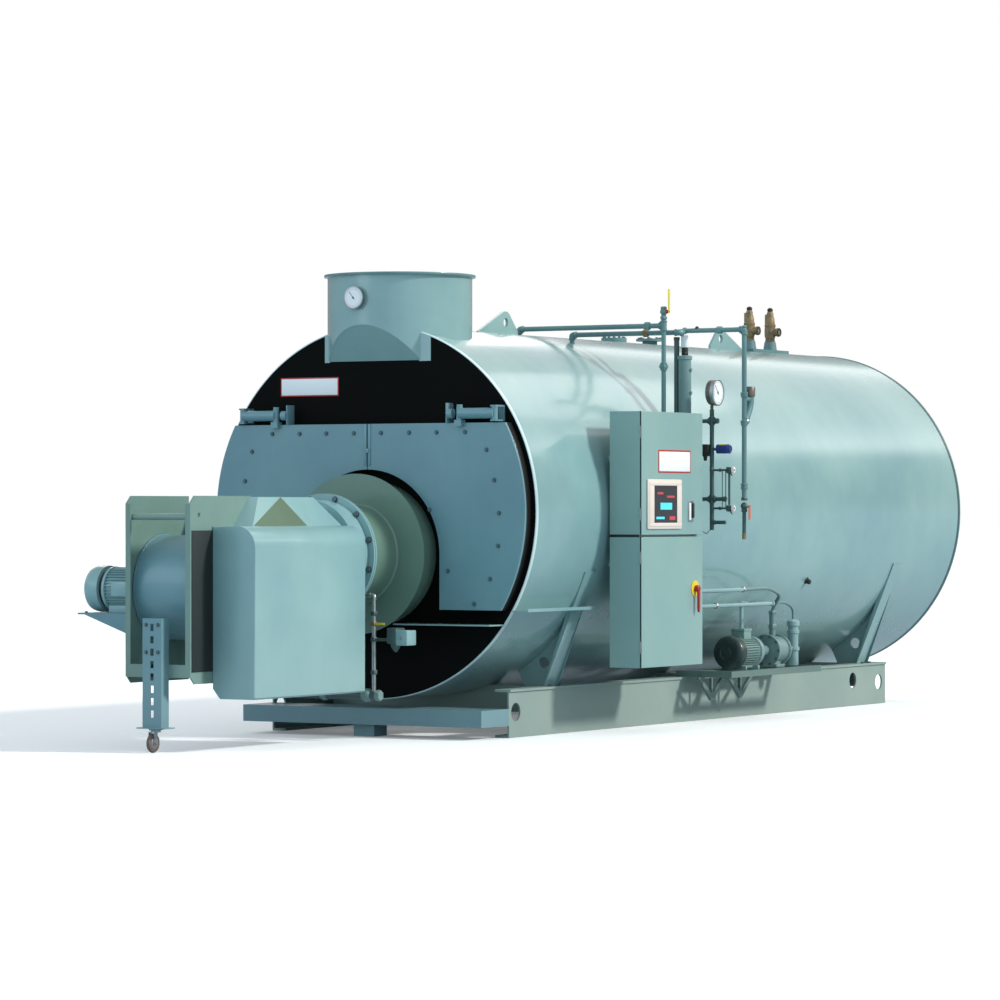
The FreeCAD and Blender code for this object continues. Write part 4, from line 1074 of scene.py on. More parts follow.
@dataclass
class Doors:
    """Bolts, edge strips and stiffening of the two tube doors."""

    reach: float = 1.360
    height: float = 1.672
    face: float = -0.100

    def spots(self, sign: int) -> list[tuple[Triple, Triple]]:
        """Bolt places of one door: top row, curved edge and cut-out."""
        way = (0.0, -1.0, 0.0)
        places = [(0.120, 2.262), (0.366, 2.262), (0.604, 2.262), (0.850, 2.262),
                  (1.035, 2.130), (1.100, 1.907), (1.141, 1.665), (1.133, 1.424),
                  (1.065, 1.181), (0.928, 0.996), (0.545, 1.690), (0.704, 1.237)]
        return [((sign * x, self.face, z), way) for x, z in places]

    def build(self, hardware: Hardware) -> None:
        """Make both doors' bolts, hinge ears and edge strips."""
        for side, sign in (("right", 1), ("left", -1)):
            hardware.bolts(f"door_bolts_{side}", f"door_{side}", self.spots(sign), 0.013,
                           DOOR_BOLT, seed=5 + sign)
            ears = Form(SHADED_BODY_PAINT)
            ends = sorted((sign * 0.698, sign * 0.710))
            ears.box((ends[0], -0.128, 2.3305), (ends[1], -0.028, 2.478), 0.004)
            ears.rod((sign * 0.709, -0.110, 2.399), (sign * 0.756, -0.110, 2.399), 0.036, 28,
                     0.002)
            x = sorted((sign * 0.006, sign * 0.030))
            ears.box((x[0], self.face - 0.006, 2.02), (x[1], self.face + 0.001, 2.328), 0.002)
            if sign > 0:
                ears.box((-0.010, self.face - 0.012, 2.112), (0.018, self.face + 0.001, 2.146),
                         0.003)
            ears.make(f"door_ear_{side}", f"door_{side}")


DOOR_BOLT = Metal("door_bolt", srgb(74, 102, 108), rough=0.5, amount=0.4, metallic=0.15)


@dataclass
class Burner:
    """Bolts and beads on the burner's ring, neck and flange pair."""

    height: float = 1.360
    ring_front: float = -0.268
    flange_front: float = -0.715
    flange_radius: float = 0.448
    neck_radius: float = 0.366

    def build(self, hardware: Hardware) -> None:
        """Make the flange bolts, nuts and weld beads."""
        centre = (0.0, self.flange_front, self.height)
        hardware.bolts("flange_bolts", "root",
                       circle_spots(centre, Axis.BACK_Y, self.flange_radius - 0.030, 12,
                                    math.pi / 12), 0.018)
        back = (0.0, self.flange_front + 0.042, self.height)
        hardware.bolts("flange_nuts", "root",
                       circle_spots(back, Axis.Y, self.flange_radius - 0.030, 12,
                                    math.pi / 12), 0.018)
        beads = Form(RING_PAINT)
        for place, way in ((self.ring_front, -1), (self.flange_front + 0.042, 1)):
            beads.lathe((0, place, self.height), Axis.Y if way > 0 else Axis.BACK_Y,
                        [(0, self.neck_radius + 0.012), (0.004, self.neck_radius + 0.010),
                         (0.012, self.neck_radius + 0.0006)], 96)
        beads.make("neck_welds", "root")


@dataclass
class AirBox:
    """Air inlet silencer: folded sheet with a rounded shoulder and a hipped hump."""

    left: float = 0.130
    right: float = 0.490
    front: float = -2.330
    rear: float = -0.900
    base: float = 0.367
    top: float = 1.575
    shoulder: float = 0.150
    crown: float = 1.780

    def section(self) -> list[tuple[float, float]]:
        """The sheet's outline across the box, from the inner foot round to the inner top."""
        points = [(self.left + 0.060, self.base), (self.right - 0.012, self.base),
                  (self.right, self.base + 0.012)]
        centre = (self.right - self.shoulder, self.top - self.shoulder)
        for index in range(11):
            angle = math.pi / 2 * index / 10
            points.append((centre[0] + self.shoulder * math.cos(angle),
                           centre[1] + self.shoulder * math.sin(angle)))
        points += [(self.left, self.top), (self.left, self.base + 0.070)]
        return points

    def build(self, hardware: Hardware) -> None:
        """Make the box and its hump, whose triangular facet is painted darker olive as painted shade."""
        form = Form(BODY_PAINT)
        form.slab(self.section(), Axis.Y, self.front, self.rear)
        edges = [e for e in form.mesh.edges
                 if abs(e.verts[0].co.y - e.verts[1].co.y) < 1e-6]
        bmesh.ops.bevel(form.mesh, geom=edges, offset=0.010, segments=3, profile=0.5,
                        affect="EDGES", clamp_overlap=True)
        form.make("air_box_sheet", "root", ["air_box"], "front_paint", crease=28)
        hump = Form(BODY_PAINT)
        low, high = self.top - 0.006, self.crown
        x0, x1, top1 = self.left, self.left + 0.165, self.left + 0.070
        front, rear = -2.070, self.rear - 0.004
        base = [hump.mesh.verts.new(p) for p in
                ((x0, front, low), (x1, front, low), (x1, -1.360, low), (x1, rear, low),
                 (x0, rear, low))]
        crown = [hump.mesh.verts.new(p) for p in
                 ((x0, -1.880, high), (top1, -1.860, high), (top1 + 0.004, -1.580, high),
                  (top1, -1.150, high), (x0, -1.130, high))]
        for face in ((base[0], base[1], crown[1], crown[0]), (base[1], crown[2], crown[1]),
                     (base[2], crown[3], crown[2]), (base[2], base[3], crown[3]),
                     (base[3], base[4], crown[4], crown[3]),
                     (crown[0], crown[1], crown[2], crown[3], crown[4]),
                     (base[4], base[0], crown[0], crown[4]),
                     (base[4], base[3], base[2], base[1], base[0])):
            hump._face(face)
        # The triangle facing +X is painted darker olive: painted shade on that facet.
        hump.use(FACET_SHADE_PAINT)
        hump._face((base[1], base[2], crown[2]))
        hump.make("air_box_hump", "root", crease=12)


@dataclass
class Fan:
    """Fan motor with its cowl and ribs, and the seams of the scroll."""

    axis_y: float = -2.160
    axis_z: float = 1.125
    left: float = -0.420

    def build(self, hardware: Hardware) -> None:
        """Make the motor, its shelf bolts, scroll seams and frame bolts."""
        motor = Form(BODY_PAINT)
        start = (-1.010, self.axis_y, self.axis_z)
        motor.lathe(start, Axis.X,
                    [(0.0, 0.0), (0.0, 0.105), (0.006, 0.132), (0.022, 0.152), (0.045, 0.162),
                     (0.075, 0.166), (0.138, 0.166), (0.140, 0.160)], 48)
        motor.use(IRON).lathe((-0.872, self.axis_y, self.axis_z), Axis.X,
                              [(0.0, 0.138), (0.034, 0.138)], 40)
        motor.use(BODY_PAINT)
        motor.lathe((-0.840, self.axis_y, self.axis_z), Axis.X,
                    [(0.0, 0.150), (0.004, 0.158), (0.026, 0.160), (0.032, 0.140),
                     (0.300, 0.140), (0.304, 0.158), (0.340, 0.160), (0.344, 0.15)], 48)
        motor.use(IRON).lathe((-0.498, self.axis_y, self.axis_z), Axis.X,
                              [(0.0, 0.118), (0.078, 0.118)], 36)
        motor.use(BODY_PAINT)
        for side in (-0.115, 0.075):
            motor.box((-0.800, self.axis_y + side, 0.955),
                      (-0.530, self.axis_y + side + 0.040, 1.010), 0.004)
        motor.box((-0.760, self.axis_y - 0.090, 0.975), (-0.560, self.axis_y + 0.090, 1.030),
                  0.004)
        motor.box((-0.745, self.axis_y - 0.166, 1.075), (-0.600, self.axis_y - 0.126, 1.180),
                  0.006)
        motor.make("fan_motor_casing", "root", ["fan_motor"], "front_paint")
        hardware.fins("fan_motor_fins", "root", (-0.676, self.axis_y, self.axis_z), Axis.X,
                      40, 0.147, 0.018, 0.004, 0.262, BODY_PAINT)
        # The cowl's vent slots are dark iron bars on its face, not openings: painted shade of the slots.
        hardware.fins("fan_cowl_slots", "root", (-1.0085, self.axis_y, self.axis_z), Axis.X,
                      18, 0.066, 0.070, 0.009, 0.006, IRON)
        seams = Form(SHADED_BODY_PAINT)
        for place in (-0.404, 0.098):
            seams.lathe((place, self.axis_y, 1.140), Axis.X,
                        [(0.0, 0.3705), (0.002, 0.378), (0.012, 0.378), (0.014, 0.3705)], 72,
                        ring=True)
        # A thin near-black panel on the cheek beside the air box: a sheet set where there is only shade, as painted
        # shade.
        seams.use(SHADE_PANEL_PAINT).box((0.1303, -2.584, 0.560), (0.1345, -2.322, 1.545), 0.001)
        seams.make("scroll_seams_and_shade_panel", "root")
        shelf = [((x, y, 0.955), (0, 0, 1)) for x in (-0.985, -0.470)
                 for y in (-2.290, -2.030)]
        hardware.bolts("shelf_bolts", "root", shelf, 0.011)
        leg = [((x, -2.690, z), (0, -1, 0)) for x in (-0.180, -0.080) for z in (0.890, 0.700)]
        hardware.bolts("leg_bolts", "root", leg, 0.011)


@dataclass
class Caster:
    """Swivel wheel with a crowned tread and a pale hub."""

    centre: tuple[float, float, float] = (-0.130, -2.677, 0.068)
    radius: float = 0.068

    def build(self, hardware: Hardware) -> None:
        """Make the wheel and the fork's nuts."""
        wheel = Form(TREAD)
        r = self.radius
        low = (self.centre[0] - 0.016, self.centre[1], self.centre[2])
        wheel.lathe(low, Axis.X, [(0.0, r * 0.62), (0.001, r * 0.80), (0.004, r * 0.93),
                                  (0.010, r * 0.99), (0.016, r), (0.022, r * 0.99),
                                  (0.028, r * 0.93), (0.031, r * 0.80), (0.032, r * 0.62)], 48)
        wheel.use(SILVER).lathe((low[0] - 0.003, *low[1:]), Axis.X,
                                [(0.0, 0.010), (0.0, 0.020), (0.002, 0.036), (0.005, 0.041),
                                 (0.033, 0.041), (0.036, 0.036), (0.038, 0.020),
                                 (0.038, 0.010)], 36)
        wheel.make("caster_tyre", "caster_wheel", ["caster_wheel"], "caster_rubber")
        hardware.bolts("caster_axle_nuts", "caster_fork",
                       [((self.centre[0] + 0.026, *self.centre[1:]), (1, 0, 0)),
                        ((self.centre[0] - 0.026, *self.centre[1:]), (-1, 0, 0))], 0.010,
                       SILVER)


@dataclass
class Dial:
    """Round dial: case, bezel, white face, ticks and a pointer."""

    name: str
    centre: tuple[float, float, float]
    axis: Axis
    radius: float
    depth: float
    up: tuple[float, float, float] = (0.0, 0.0, 1.0)

    def build(self, hardware: Hardware, body: str, replaces: Iterable[str],
              extra: Callable[[Form], None] | None = None) -> None:
        """Make the dial.

        Args:
            hardware: the patterns.
            body: the body that it rides on.
            replaces: nodes it stands for.
            extra: adds the stem or neck to the form.
        """
        r, d = self.radius, self.depth
        case = Form(CASE)
        case.lathe(self.centre, self.axis,
                   [(0.0, r * 0.80), (d * 0.1, r * 0.93), (d * 0.62, r * 0.95)], 56)
        case.use(SILVER).lathe(self.centre, self.axis,
                               [(d * 0.60, r * 0.94), (d * 0.66, r), (d * 0.92, r),
                                (d, r * 0.95), (d, r * 0.90), (d * 0.90, r * 0.88)], 56)
        way = self.axis.vector
        case.use(WHITE).lathe(Vector(self.centre) + way * d * 0.905, self.axis,
                              [(0.0, r * 0.88), (0.0008, r * 0.88)], 56)
        face = Vector(self.centre) + way * (d * 0.905 + 0.0012)
        across = way.cross(Vector(self.up)).normalized()
        case.use(BLACK_RUBBER)
        angle = math.radians(38)
        tip = across * math.sin(angle) + Vector(self.up) * math.cos(angle)
        case.tube([face - tip * r * 0.22, face + tip * r * 0.68], r * 0.022, 0.001, 6)
        case.lathe(face, self.axis, [(0.0, r * 0.085), (0.003, r * 0.08)], 16)
        if extra:
            extra(case)
        case.make(self.name, body, replaces, "gauge_case")
        hardware.fins(f"{self.name}_ticks", body, face, self.axis, 30, r * 0.76, r * 0.11,
                      r * 0.020, 0.0006, BLACK_RUBBER)


@dataclass
class Stack:
    """The outlet collar's rolled rim and its dial."""

    def build(self, hardware: Hardware) -> None:
        """Make the rim bead and the dial thermometer."""
        rim = Form(PIPE_PAINT)
        rim.lathe((0, 0.360, 3.4405), Axis.Z,
                  [(0.0, 0.5475), (0.0, 0.571), (0.004, 0.573), (0.014, 0.573),
                   (0.0190, 0.571), (0.0200, 0.566), (0.0200, 0.5475)], 128, ring=True)
        rim.make("stack_rim_bead", "root")
        skirt = Form(SHELL_PAINT)
        for sign in (-1, 1):
            wide = 0.495 if sign > 0 else 0.440
            crest = 1.672 + math.sqrt(1.398 ** 2 - wide ** 2)
            outline = [(sign * 0.395, 2.796), (sign * wide, 2.796), (sign * wide, crest),
                       (sign * 0.395, 3.010)]
            skirt.slab(outline[::sign], Axis.Y, -0.0042, -0.0002)
        skirt.make("stack_skirt", "root")

        def stem(form: Form) -> None:
            """The thermometer's stem into the stack."""
            form.use(SILVER).rod((-0.043, -0.200, 3.268), (-0.043, -0.178, 3.268), 0.014)

        Dial("stack_dial", (-0.043, -0.199, 3.268), Axis.BACK_Y, 0.085, 0.035).build(
            hardware, "root", ["stack_thermometer"], stem)


@dataclass
class Cabinet:
    """Operator panel, bare plate, latch, isolator and door edge folds."""

    face: float = 1.6903
    front: float = 1.070
    rear: float = 2.050

    def build(self, hardware: Hardware) -> None:
        """Make everything that is on the two doors."""
        face = self.face
        panel = Form(CREAM)
        low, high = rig.box("display_panel")
        panel.box(tuple(low), (high.x - 0.004, high.y, high.z), 0.010)
        screen = ((1.272, 1.603), (1.640, 1.853))
        screen = ((1.235, 1.590), (1.600, 1.872))
        panel.use(CREAM)
        for a, b in (((low.y + 0.02, low.z + 0.02), (high.y - 0.02, screen[0][1])),
                     ((low.y + 0.02, screen[1][1]), (high.y - 0.02, high.z - 0.02)),
                     ((low.y + 0.02, screen[0][1]), (screen[0][0], screen[1][1])),
                     ((screen[1][0], screen[0][1]), (high.y - 0.02, screen[1][1]))):
            panel.box((high.x - 0.006, *a), (high.x, *b), 0.002)
        panel.use(GLASS).box((high.x - 0.008, *screen[0]), (high.x - 0.003, *screen[1]))
        x = high.x - 0.0032
        panel.use(CYAN).box((x, 1.335, 1.690), (x + 0.0008, 1.520, 1.742))
        panel.box((x, 1.270, 1.618), (x + 0.0006, 1.400, 1.636))
        panel.use(ROSE).box((x, 1.480, 1.612), (x + 0.0008, 1.570, 1.640))
        panel.box((x, 1.290, 1.806), (x + 0.0006, 1.380, 1.822))
        panel.box((x, 1.440, 1.780), (x + 0.0006, 1.560, 1.796))
        panel.make("operator_panel", "upper_door", ["display_panel"], "display_plastic")
        plate = Form(RED)
        plate.box((face - 0.0005, 1.332, 1.968), (face + 0.0045, 1.853, 2.143), 0.002)
        plate.use(WHITE).box((face + 0.001, 1.346, 1.981), (face + 0.0065, 1.839, 2.130), 0.001)
        plate.make("cabinet_nameplate", "upper_door")
        latch = Form(SILVER)
        low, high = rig.box("cabinet_latch")
        latch.box((face, low.y, low.z), (face + 0.008, high.y, high.z), 0.003)
        latch.use(WHITE).box((face + 0.006, low.y + 0.010, low.z + 0.014),
                             (face + 0.013, low.y + 0.040, high.z - 0.014), 0.003)
        latch.use(IRON).box((face + 0.006, high.y - 0.040, low.z + 0.030),
                            (face + 0.026, high.y - 0.014, high.z - 0.016), 0.005)
        latch.make("door_latch", "upper_door", ["cabinet_latch"], "latch_metal")
        disc = Form(YELLOW)
        disc.lathe((face, 1.925, 1.085), Axis.X,
                   [(0.0, 0.060), (0.003, 0.062), (0.008, 0.062), (0.0082, 0.056)], 48)
        disc.make("isolator_disc", "lower_door", ["isolator_plate"], "plate_yellow")
        handle = Form(RED)
        start = face + 0.0085
        handle.lathe((start, 1.925, 1.085), Axis.X,
                     [(0.0, 0.024), (0.016, 0.026), (0.030, 0.025), (0.036, 0.018)], 32)
        handle.slab([(1.911, 1.090), (1.914, 0.930), (1.921, 0.902), (1.930, 0.902),
                     (1.937, 0.930), (1.940, 1.090)], Axis.X, start + 0.020, start + 0.035)
        handle.make("isolator_lever", "isolator_handle", ["isolator_handle"], "handle_red")
        seam = Form(BLACK_RUBBER)
        seam.box((1.4203, self.front - 0.0022, 1.483), (1.6720, self.front + 0.0004, 1.503),
                 0.0008)
        seam.make("cabinet_side_seam", "root")
        folds = (("upper", "upper_door", 1.500, 2.430), ("lower", "lower_door", 0.500, 1.484))
        for name, body, low_z, high_z in folds:
            fold = Form(CABINET_PAINT)
            y0, y1, depth = self.front, self.rear, 0.0030
            fold.slab([(y0, low_z), (y1, low_z), (y1, high_z), (y0, high_z)], Axis.X,
                      face - 0.010, face + depth)
            edges = [e for e in fold.mesh.edges
                     if all(abs(v.co.x - face - depth) < 1e-5 for v in e.verts)]
            bmesh.ops.bevel(fold.mesh, geom=edges, offset=0.0035, segments=3, profile=0.5,
                            affect="EDGES", clamp_overlap=True)
            fold.make(f"cabinet_door_skin_{name}", body)
            hinge = Form(SILVER)
            for z in (low_z + 0.110, high_z - 0.200):
                hinge.rod((1.6813, 1.066, z), (1.6813, 1.066, z + 0.090), 0.0062, 16, 0.001)
            hinge.make(f"cabinet_hinges_{name}", body)


@dataclass
class TopFittings:
    """Safety valves, flanged nozzle and handhole on the crest."""

    crest: float = 3.072

    def valve(self, form: Form, y: float, tall: float) -> None:
        """One spring safety valve on its nozzle."""
        base = 3.170
        form.use(BRONZE)
        form.nut((0, y, base), Axis.Z, 0.049, 0.022)
        form.lathe((0, y, base + 0.020), Axis.Z,
                   [(0, 0.038), (0.012, 0.042), (0.036, 0.049), (0.085, 0.0495),
                    (0.112, 0.047), (0.118, 0.0495), (0.134, 0.0495), (0.140, 0.042),
                    (0.152, 0.042), (tall * 0.62, 0.040), (tall * 0.74, 0.030),
                    (tall * 0.80, 0.031), (tall * 0.84, 0.026), (tall * 0.88, 0.018)], 32)
        form.lathe((0.020, y, base + 0.085), Axis.X,
                   [(0, 0.034), (0.046, 0.034), (0.052, 0.039), (0.066, 0.039),
                    (0.070, 0.036)], 28)
        form.use(IRON).lathe((0.084, y, base + 0.085), Axis.X,
                             [(0, 0.030), (0.006, 0.038), (0.011, 0.036), (0.011, 0.024),
                              (0.004, 0.022)], 28)
        form.lathe((0, y, base + 0.018 + tall * 0.86), Axis.Z,
                   [(0, 0.018), (0.006, 0.025), (0.024, 0.025), (0.032, 0.016),
                    (0.036, 0.004)], 20)
        form.use(BRONZE).box((-0.050, y - 0.008, base + 0.150), (-0.030, y + 0.008,
                                                                 base + 0.245), 0.004)

    def build(self, hardware: Hardware) -> None:
        """Make the valves and the bolts."""
        valves = Form(BRONZE)
        self.valve(valves, 6.150, 0.285)
        self.valve(valves, 6.550, 0.290)
        valves.make("safety_valve_pair", "root", ["safety_valves"], "bronze")
        hardware.bolts("steam_flange_bolts", "root",
                       circle_spots((0, 4.320, 3.120), Axis.Z, 0.090, 8, math.pi / 8), 0.012)
        hardware.bolts("handhole_bolts", "root",
                       circle_spots((0, 3.700, 3.106), Axis.Z, 0.085, 12), 0.010)


@dataclass
class Trim:
    """Pipes across the top, water column, header, drain line, gauge and glass."""

    y: float = 2.350
    paint: object = PIPE_PAINT

    def crossover(self) -> None:
        """The two pipes across the crest and the riser behind the cabinet."""
        form = Form(PIPE_PAINT)
        form.run([(0, 2.150, 3.060), (0, 2.150, 3.120), (1.300, 2.150, 3.120)], 0.020)
        form.tee((1.300, 2.150, 3.120), (Axis.BACK_X, Axis.DOWN, Axis.Z), 0.020)
        form.run([(1.300, 2.150, 3.110), (1.300, 2.150, 2.260), (1.245, 2.150, 2.260)], 0.018,
                 DARK_PIPE)
        form.nut((1.300, 2.150, 2.772), Axis.Z, 0.032, 0.018)
        form.nut((1.300, 2.150, 2.790), Axis.Z, 0.040, 0.026)
        form.nut((1.300, 2.150, 2.816), Axis.Z, 0.031, 0.016)
        form.nut((1.130, 2.150, 3.120), Axis.X, 0.032, 0.050)
        form.run([(0.420, 2.260, 2.985), (0.420, 2.260, 3.070), (1.380, 2.260, 3.070),
                  (1.380, 2.318, 3.070)], 0.020)
        form.use(BRONZE).nut((1.060, 2.260, 3.070), Axis.X, 0.031, 0.046)
        form.make("crossover_piping", "root", ["crossover_pipes"], "shell_paint")

    def vent(self) -> None:
        """Ball valve above the riser and its yellow lever."""
        form = Form(PIPE_PAINT)
        base = 3.1485
        form.rod((1.300, 2.150, base - 0.006), (1.300, 2.150, base + 0.120), 0.019)
        form.nut((1.300, 2.150, base + 0.020), Axis.Z, 0.030, 0.026)
        form.ball((1.300, 2.150, base + 0.080), 0.029)
        form.nut((1.300, 2.150, base + 0.096), Axis.Z, 0.027, 0.022)
        form.use(RED).lathe((1.322, 2.150, base + 0.080), Axis.X,
                            [(0, 0.015), (0.014, 0.015), (0.016, 0.009), (0.022, 0.009)], 16)
        form.make("vent_valve_body", "root", ["vent_valve"], "pipe_steel")
        lever = Form(YELLOW)
        z = base + 0.080
        lever.slab([(2.139, z - 0.012), (2.161, z - 0.012), (2.162, z + 0.090),
                    (2.164, z + 0.160), (2.158, z + 0.175), (2.142, z + 0.175),
                    (2.136, z + 0.160), (2.138, z + 0.090)], Axis.X, 1.3445, 1.3500)
        lever.use(SILVER).nut((1.3440, 2.150, z), Axis.X, 0.010, 0.0062)
        lever.make("vent_lever_blade", "vent_lever", ["vent_valve_lever"], "plate_yellow")

    def column(self) -> None:
        """Water column with its studs, black plug and pale probe cover."""
        x, y = 1.380, self.y
        form = Form(PUMP_PAINT)
        form.lathe((x, y, 2.078), Axis.Z,
                   [(0, 0.054), (0.004, 0.058), (0.022, 0.058), (0.026, 0.050),
                    (0.780, 0.050), (0.784, 0.058), (0.808, 0.058), (0.815, 0.046)], 36)
        for z in (2.42, 2.60, 2.78):
            form.nut((x + 0.046, y, z), Axis.X, 0.015, 0.014)
        form.use(DARK_PIPE).rod((x - 0.072, y, 2.120), (x - 0.072, y, 3.030), 0.021, 18, 0.002)
        form.nut((x - 0.072, y, 3.012), Axis.Z, 0.027, 0.026)
        form.rod((x - 0.072, y, 2.160), (x, y, 2.160), 0.016)
        form.rod((x - 0.072, y, 2.860), (x, y, 2.860), 0.016)
        form.use(IRON).nut((x, y, 2.890), Axis.Z, 0.030, 0.030)
        form.lathe((x, y, 2.920), Axis.Z, [(0, 0.026), (0.040, 0.026)], 18)
        form.use(WHITE).lathe((x, y, 2.956), Axis.Z,
                              [(0, 0.028), (0.006, 0.030), (0.088, 0.030), (0.094, 0.025)], 24)
        form.make("water_column_body", "root", ["water_column"], "shell_paint")

    def drain(self) -> None:
        """Header along the top, strainer, unions, drain valve and its lever."""
        x, y, top = 1.900, self.y, 3.0853
        form = Form(PIPE_PAINT)
        form.run([(1.380, y, top), (x, y, top), (x, y, 1.762)], 0.019)
        form.tee((x, y, top), (Axis.BACK_X, Axis.DOWN), 0.020)
        form.nut((x, y, top + 0.012), Axis.Z, 0.021, 0.018)
        form.ball((1.380, y, top), 0.027)
        form.nut((1.660, y, top), Axis.X, 0.029, 0.048)
        form.use(IRON).ball((1.487, y, top + 0.018), 0.016)
        form.use(PIPE_PAINT)
        form.lathe((x, y, 2.560), Axis.Z, [(0, 0.027), (0.036, 0.030), (0.040, 0.024)], 20)
        form.lathe((x, y, 2.340), Axis.Z, [(0, 0.026), (0.040, 0.030), (0.044, 0.024)], 20)
        form.tube([(x + 0.010, y + 0.085, 2.575), (x + 0.010, y + 0.078, 2.490),
                   (x + 0.004, y + 0.012, 2.385)], 0.030, 0.05)
        form.rod((x, y, 2.545), (x + 0.008, y + 0.080, 2.545), 0.021)
        form.use(CASE).lathe((x + 0.010, y + 0.085, 2.566), Axis.Z,
                             [(0, 0.033), (0.005, 0.038), (0.070, 0.038), (0.078, 0.033)], 10)
        form.use(SILVER).ball((x + 0.010, y + 0.012, 2.372), 0.028)
        form.use(PIPE_PAINT)
        for z in (1.848, 1.872):
            form.nut((x, y, z), Axis.Z, 0.031, 0.020)
        form.use(DARK_PIPE)
        form.nut((x, y, 1.760), Axis.Z, 0.027, 0.024)
        form.ball((x, y, 1.718), 0.029)
        form.nut((x, y, 1.672), Axis.Z, 0.026, 0.022)
        form.rod((x, y, 1.462), (x, y, 1.690), 0.015, 16, 0.001)
        form.use(BRONZE).lathe((x, y, 1.460), Axis.Z, [(0, 0.016), (0.050, 0.016)], 16)
        form.use(SILVER).lathe((x + 0.022, y, 1.718), Axis.X,
                               [(0, 0.014), (0.014, 0.013), (0.016, 0.009), (0.022, 0.009)],
                               14)
        form.make("drain_piping", "root", ["drain_line"], "pipe_steel")
        lever = Form(ORANGE)
        lever.slab([(y - 0.012, 1.728), (y + 0.012, 1.728), (y + 0.014, 1.630),
                    (y + 0.008, 1.610), (y - 0.008, 1.610), (y - 0.014, 1.630)], Axis.X,
                   x + 0.0445, x + 0.050)
        lever.use(SILVER).nut((x + 0.0443, y, 1.718), Axis.X, 0.010, 0.006)
        lever.make("drain_lever_blade", "drain_lever", ["drain_valve_lever"], "plate_yellow")

    def gauge_set(self, hardware: Hardware) -> None:
        """Steam gauge, manifold, switches, sender and gauge glass."""
        x, y = 1.618, self.y
        form = Form(DARK_PIPE)
        form.rod((x, y, 1.531), (x, y, 2.470), 0.0175)
        form.rod((1.4305, y, 2.379), (1.664, y, 2.379), 0.0160)
        form.rod((1.360, y, 1.772), (1.745, y, 1.772), 0.0160)
        form.rod((x, y, 1.591), (1.738, y, 1.591), 0.0145)
        for z in (2.379, 1.772):
            form.tee((x, y, z), (Axis.X, Axis.BACK_X, Axis.Z, Axis.DOWN), 0.0168)
        for place in (1.465, 1.660):
            form.nut((place - 0.010, y, 2.379), Axis.X, 0.021, 0.026)
        form.nut((1.480, y, 1.772), Axis.X, 0.021, 0.024)
        form.nut((1.716, y, 1.772), Axis.X, 0.021, 0.026)
        form.nut((x, y, 2.424), Axis.Z, 0.020, 0.024)
        form.nut((x, y, 1.990), Axis.Z, 0.021, 0.024)
        form.tee((x, y, 1.591), (Axis.X, Axis.Z), 0.0135)
        form.use(SILVER)
        form.tube([(1.600, y + 0.012, 1.540), (1.560, y + 0.02, 1.50), (1.50, y + 0.01, 1.536)],
                  0.004, 0.02, 8)
        form.make("gauge_piping", "root", ["gauge_manifold"], "latch_metal")

        def neck(case: Form) -> None:
            """Stem, nut and syphon below the case."""
            case.use(BRONZE).rod((x, y, 2.4705), (x, y, 2.512), 0.011)
            case.nut((x, y, 2.480), Axis.Z, 0.015, 0.018)

        Dial("steam_gauge_dial", (x - 0.016, y, 2.600), Axis.X, 0.105, 0.074).build(
            hardware, "root", ["steam_gauge"], neck)
        boxes = Form(IRON)
        boxes.box((1.5137, y - 0.038, 2.128), (1.6035, y + 0.038, 2.198), 0.006)
        boxes.lathe((1.560, y, 2.070), Axis.Z, [(0, 0.012), (0.04, 0.018), (0.060, 0.018)], 18)
        boxes.box((1.528, y - 0.028, 2.105), (1.592, y + 0.028, 2.130), 0.004)
        boxes.use(SILVER).nut((1.545, y - 0.044, 2.150), Axis.Y, 0.009, 0.008)
        boxes.use(BLUE).lathe((1.664, y, 2.162), Axis.X,
                              [(0, 0.026), (0.004, 0.036), (0.100, 0.036), (0.108, 0.030),
                               (0.117, 0.028)], 28)
        boxes.box((1.672, y - 0.034, 2.125), (1.770, y + 0.034, 2.186), 0.006)
        boxes.use(YELLOW).box((1.690, y - 0.022, 2.186), (1.742, y + 0.022, 2.199), 0.003)
        boxes.use(DARK_PIPE).rod((1.633, y, 2.160), (1.670, y, 2.160), 0.011)
        boxes.make("pressure_switches", "root", ["pressure_controls"], "control_plastic")
        glass = Form(DARK_PIPE)
        gx = 1.770
        glass.rod((gx, y, 1.726), (gx, y, 1.971), 0.0085)
        for z in (1.997, 1.700):
            glass.box((gx - 0.020, y - 0.018, z - 0.024), (gx + 0.016, y + 0.018, z + 0.024),
                      0.005)
            glass.nut((gx, y, z - 0.026), Axis.Z, 0.016, 0.012)
            glass.rod((1.6330, y, z), (gx, y, z), 0.0085)
            glass.nut((1.680, y, z), Axis.X, 0.014, 0.018)
            glass.use(WHITE).lathe((gx + 0.022, y, z), Axis.X,
                                   [(0, 0.014), (0.006, 0.025), (0.020, 0.025),
                                    (0.022, 0.022)], 24)
            glass.use(RED).lathe((gx + 0.0435, y, z), Axis.X, [(0, 0.009), (0.002, 0.008)], 16)
            glass.use(DARK_PIPE)
            glass.tube([(gx + 0.006, y, z - 0.020), (gx + 0.026, y, z - 0.044)], 0.005, 0.01, 8)
        for place in (1.712, 1.742):
            glass.rod((place, y - 0.006, 1.690), (place, y - 0.006, 2.005), 0.0035, 8)
        glass.make("gauge_glass", "root", ["level_glass"], "bronze")

    def build(self, hardware: Hardware) -> None:
        """Make every piece of the trim."""
        self.crossover()
        self.vent()
        self.column()
        self.drain()
        self.gauge_set(hardware)


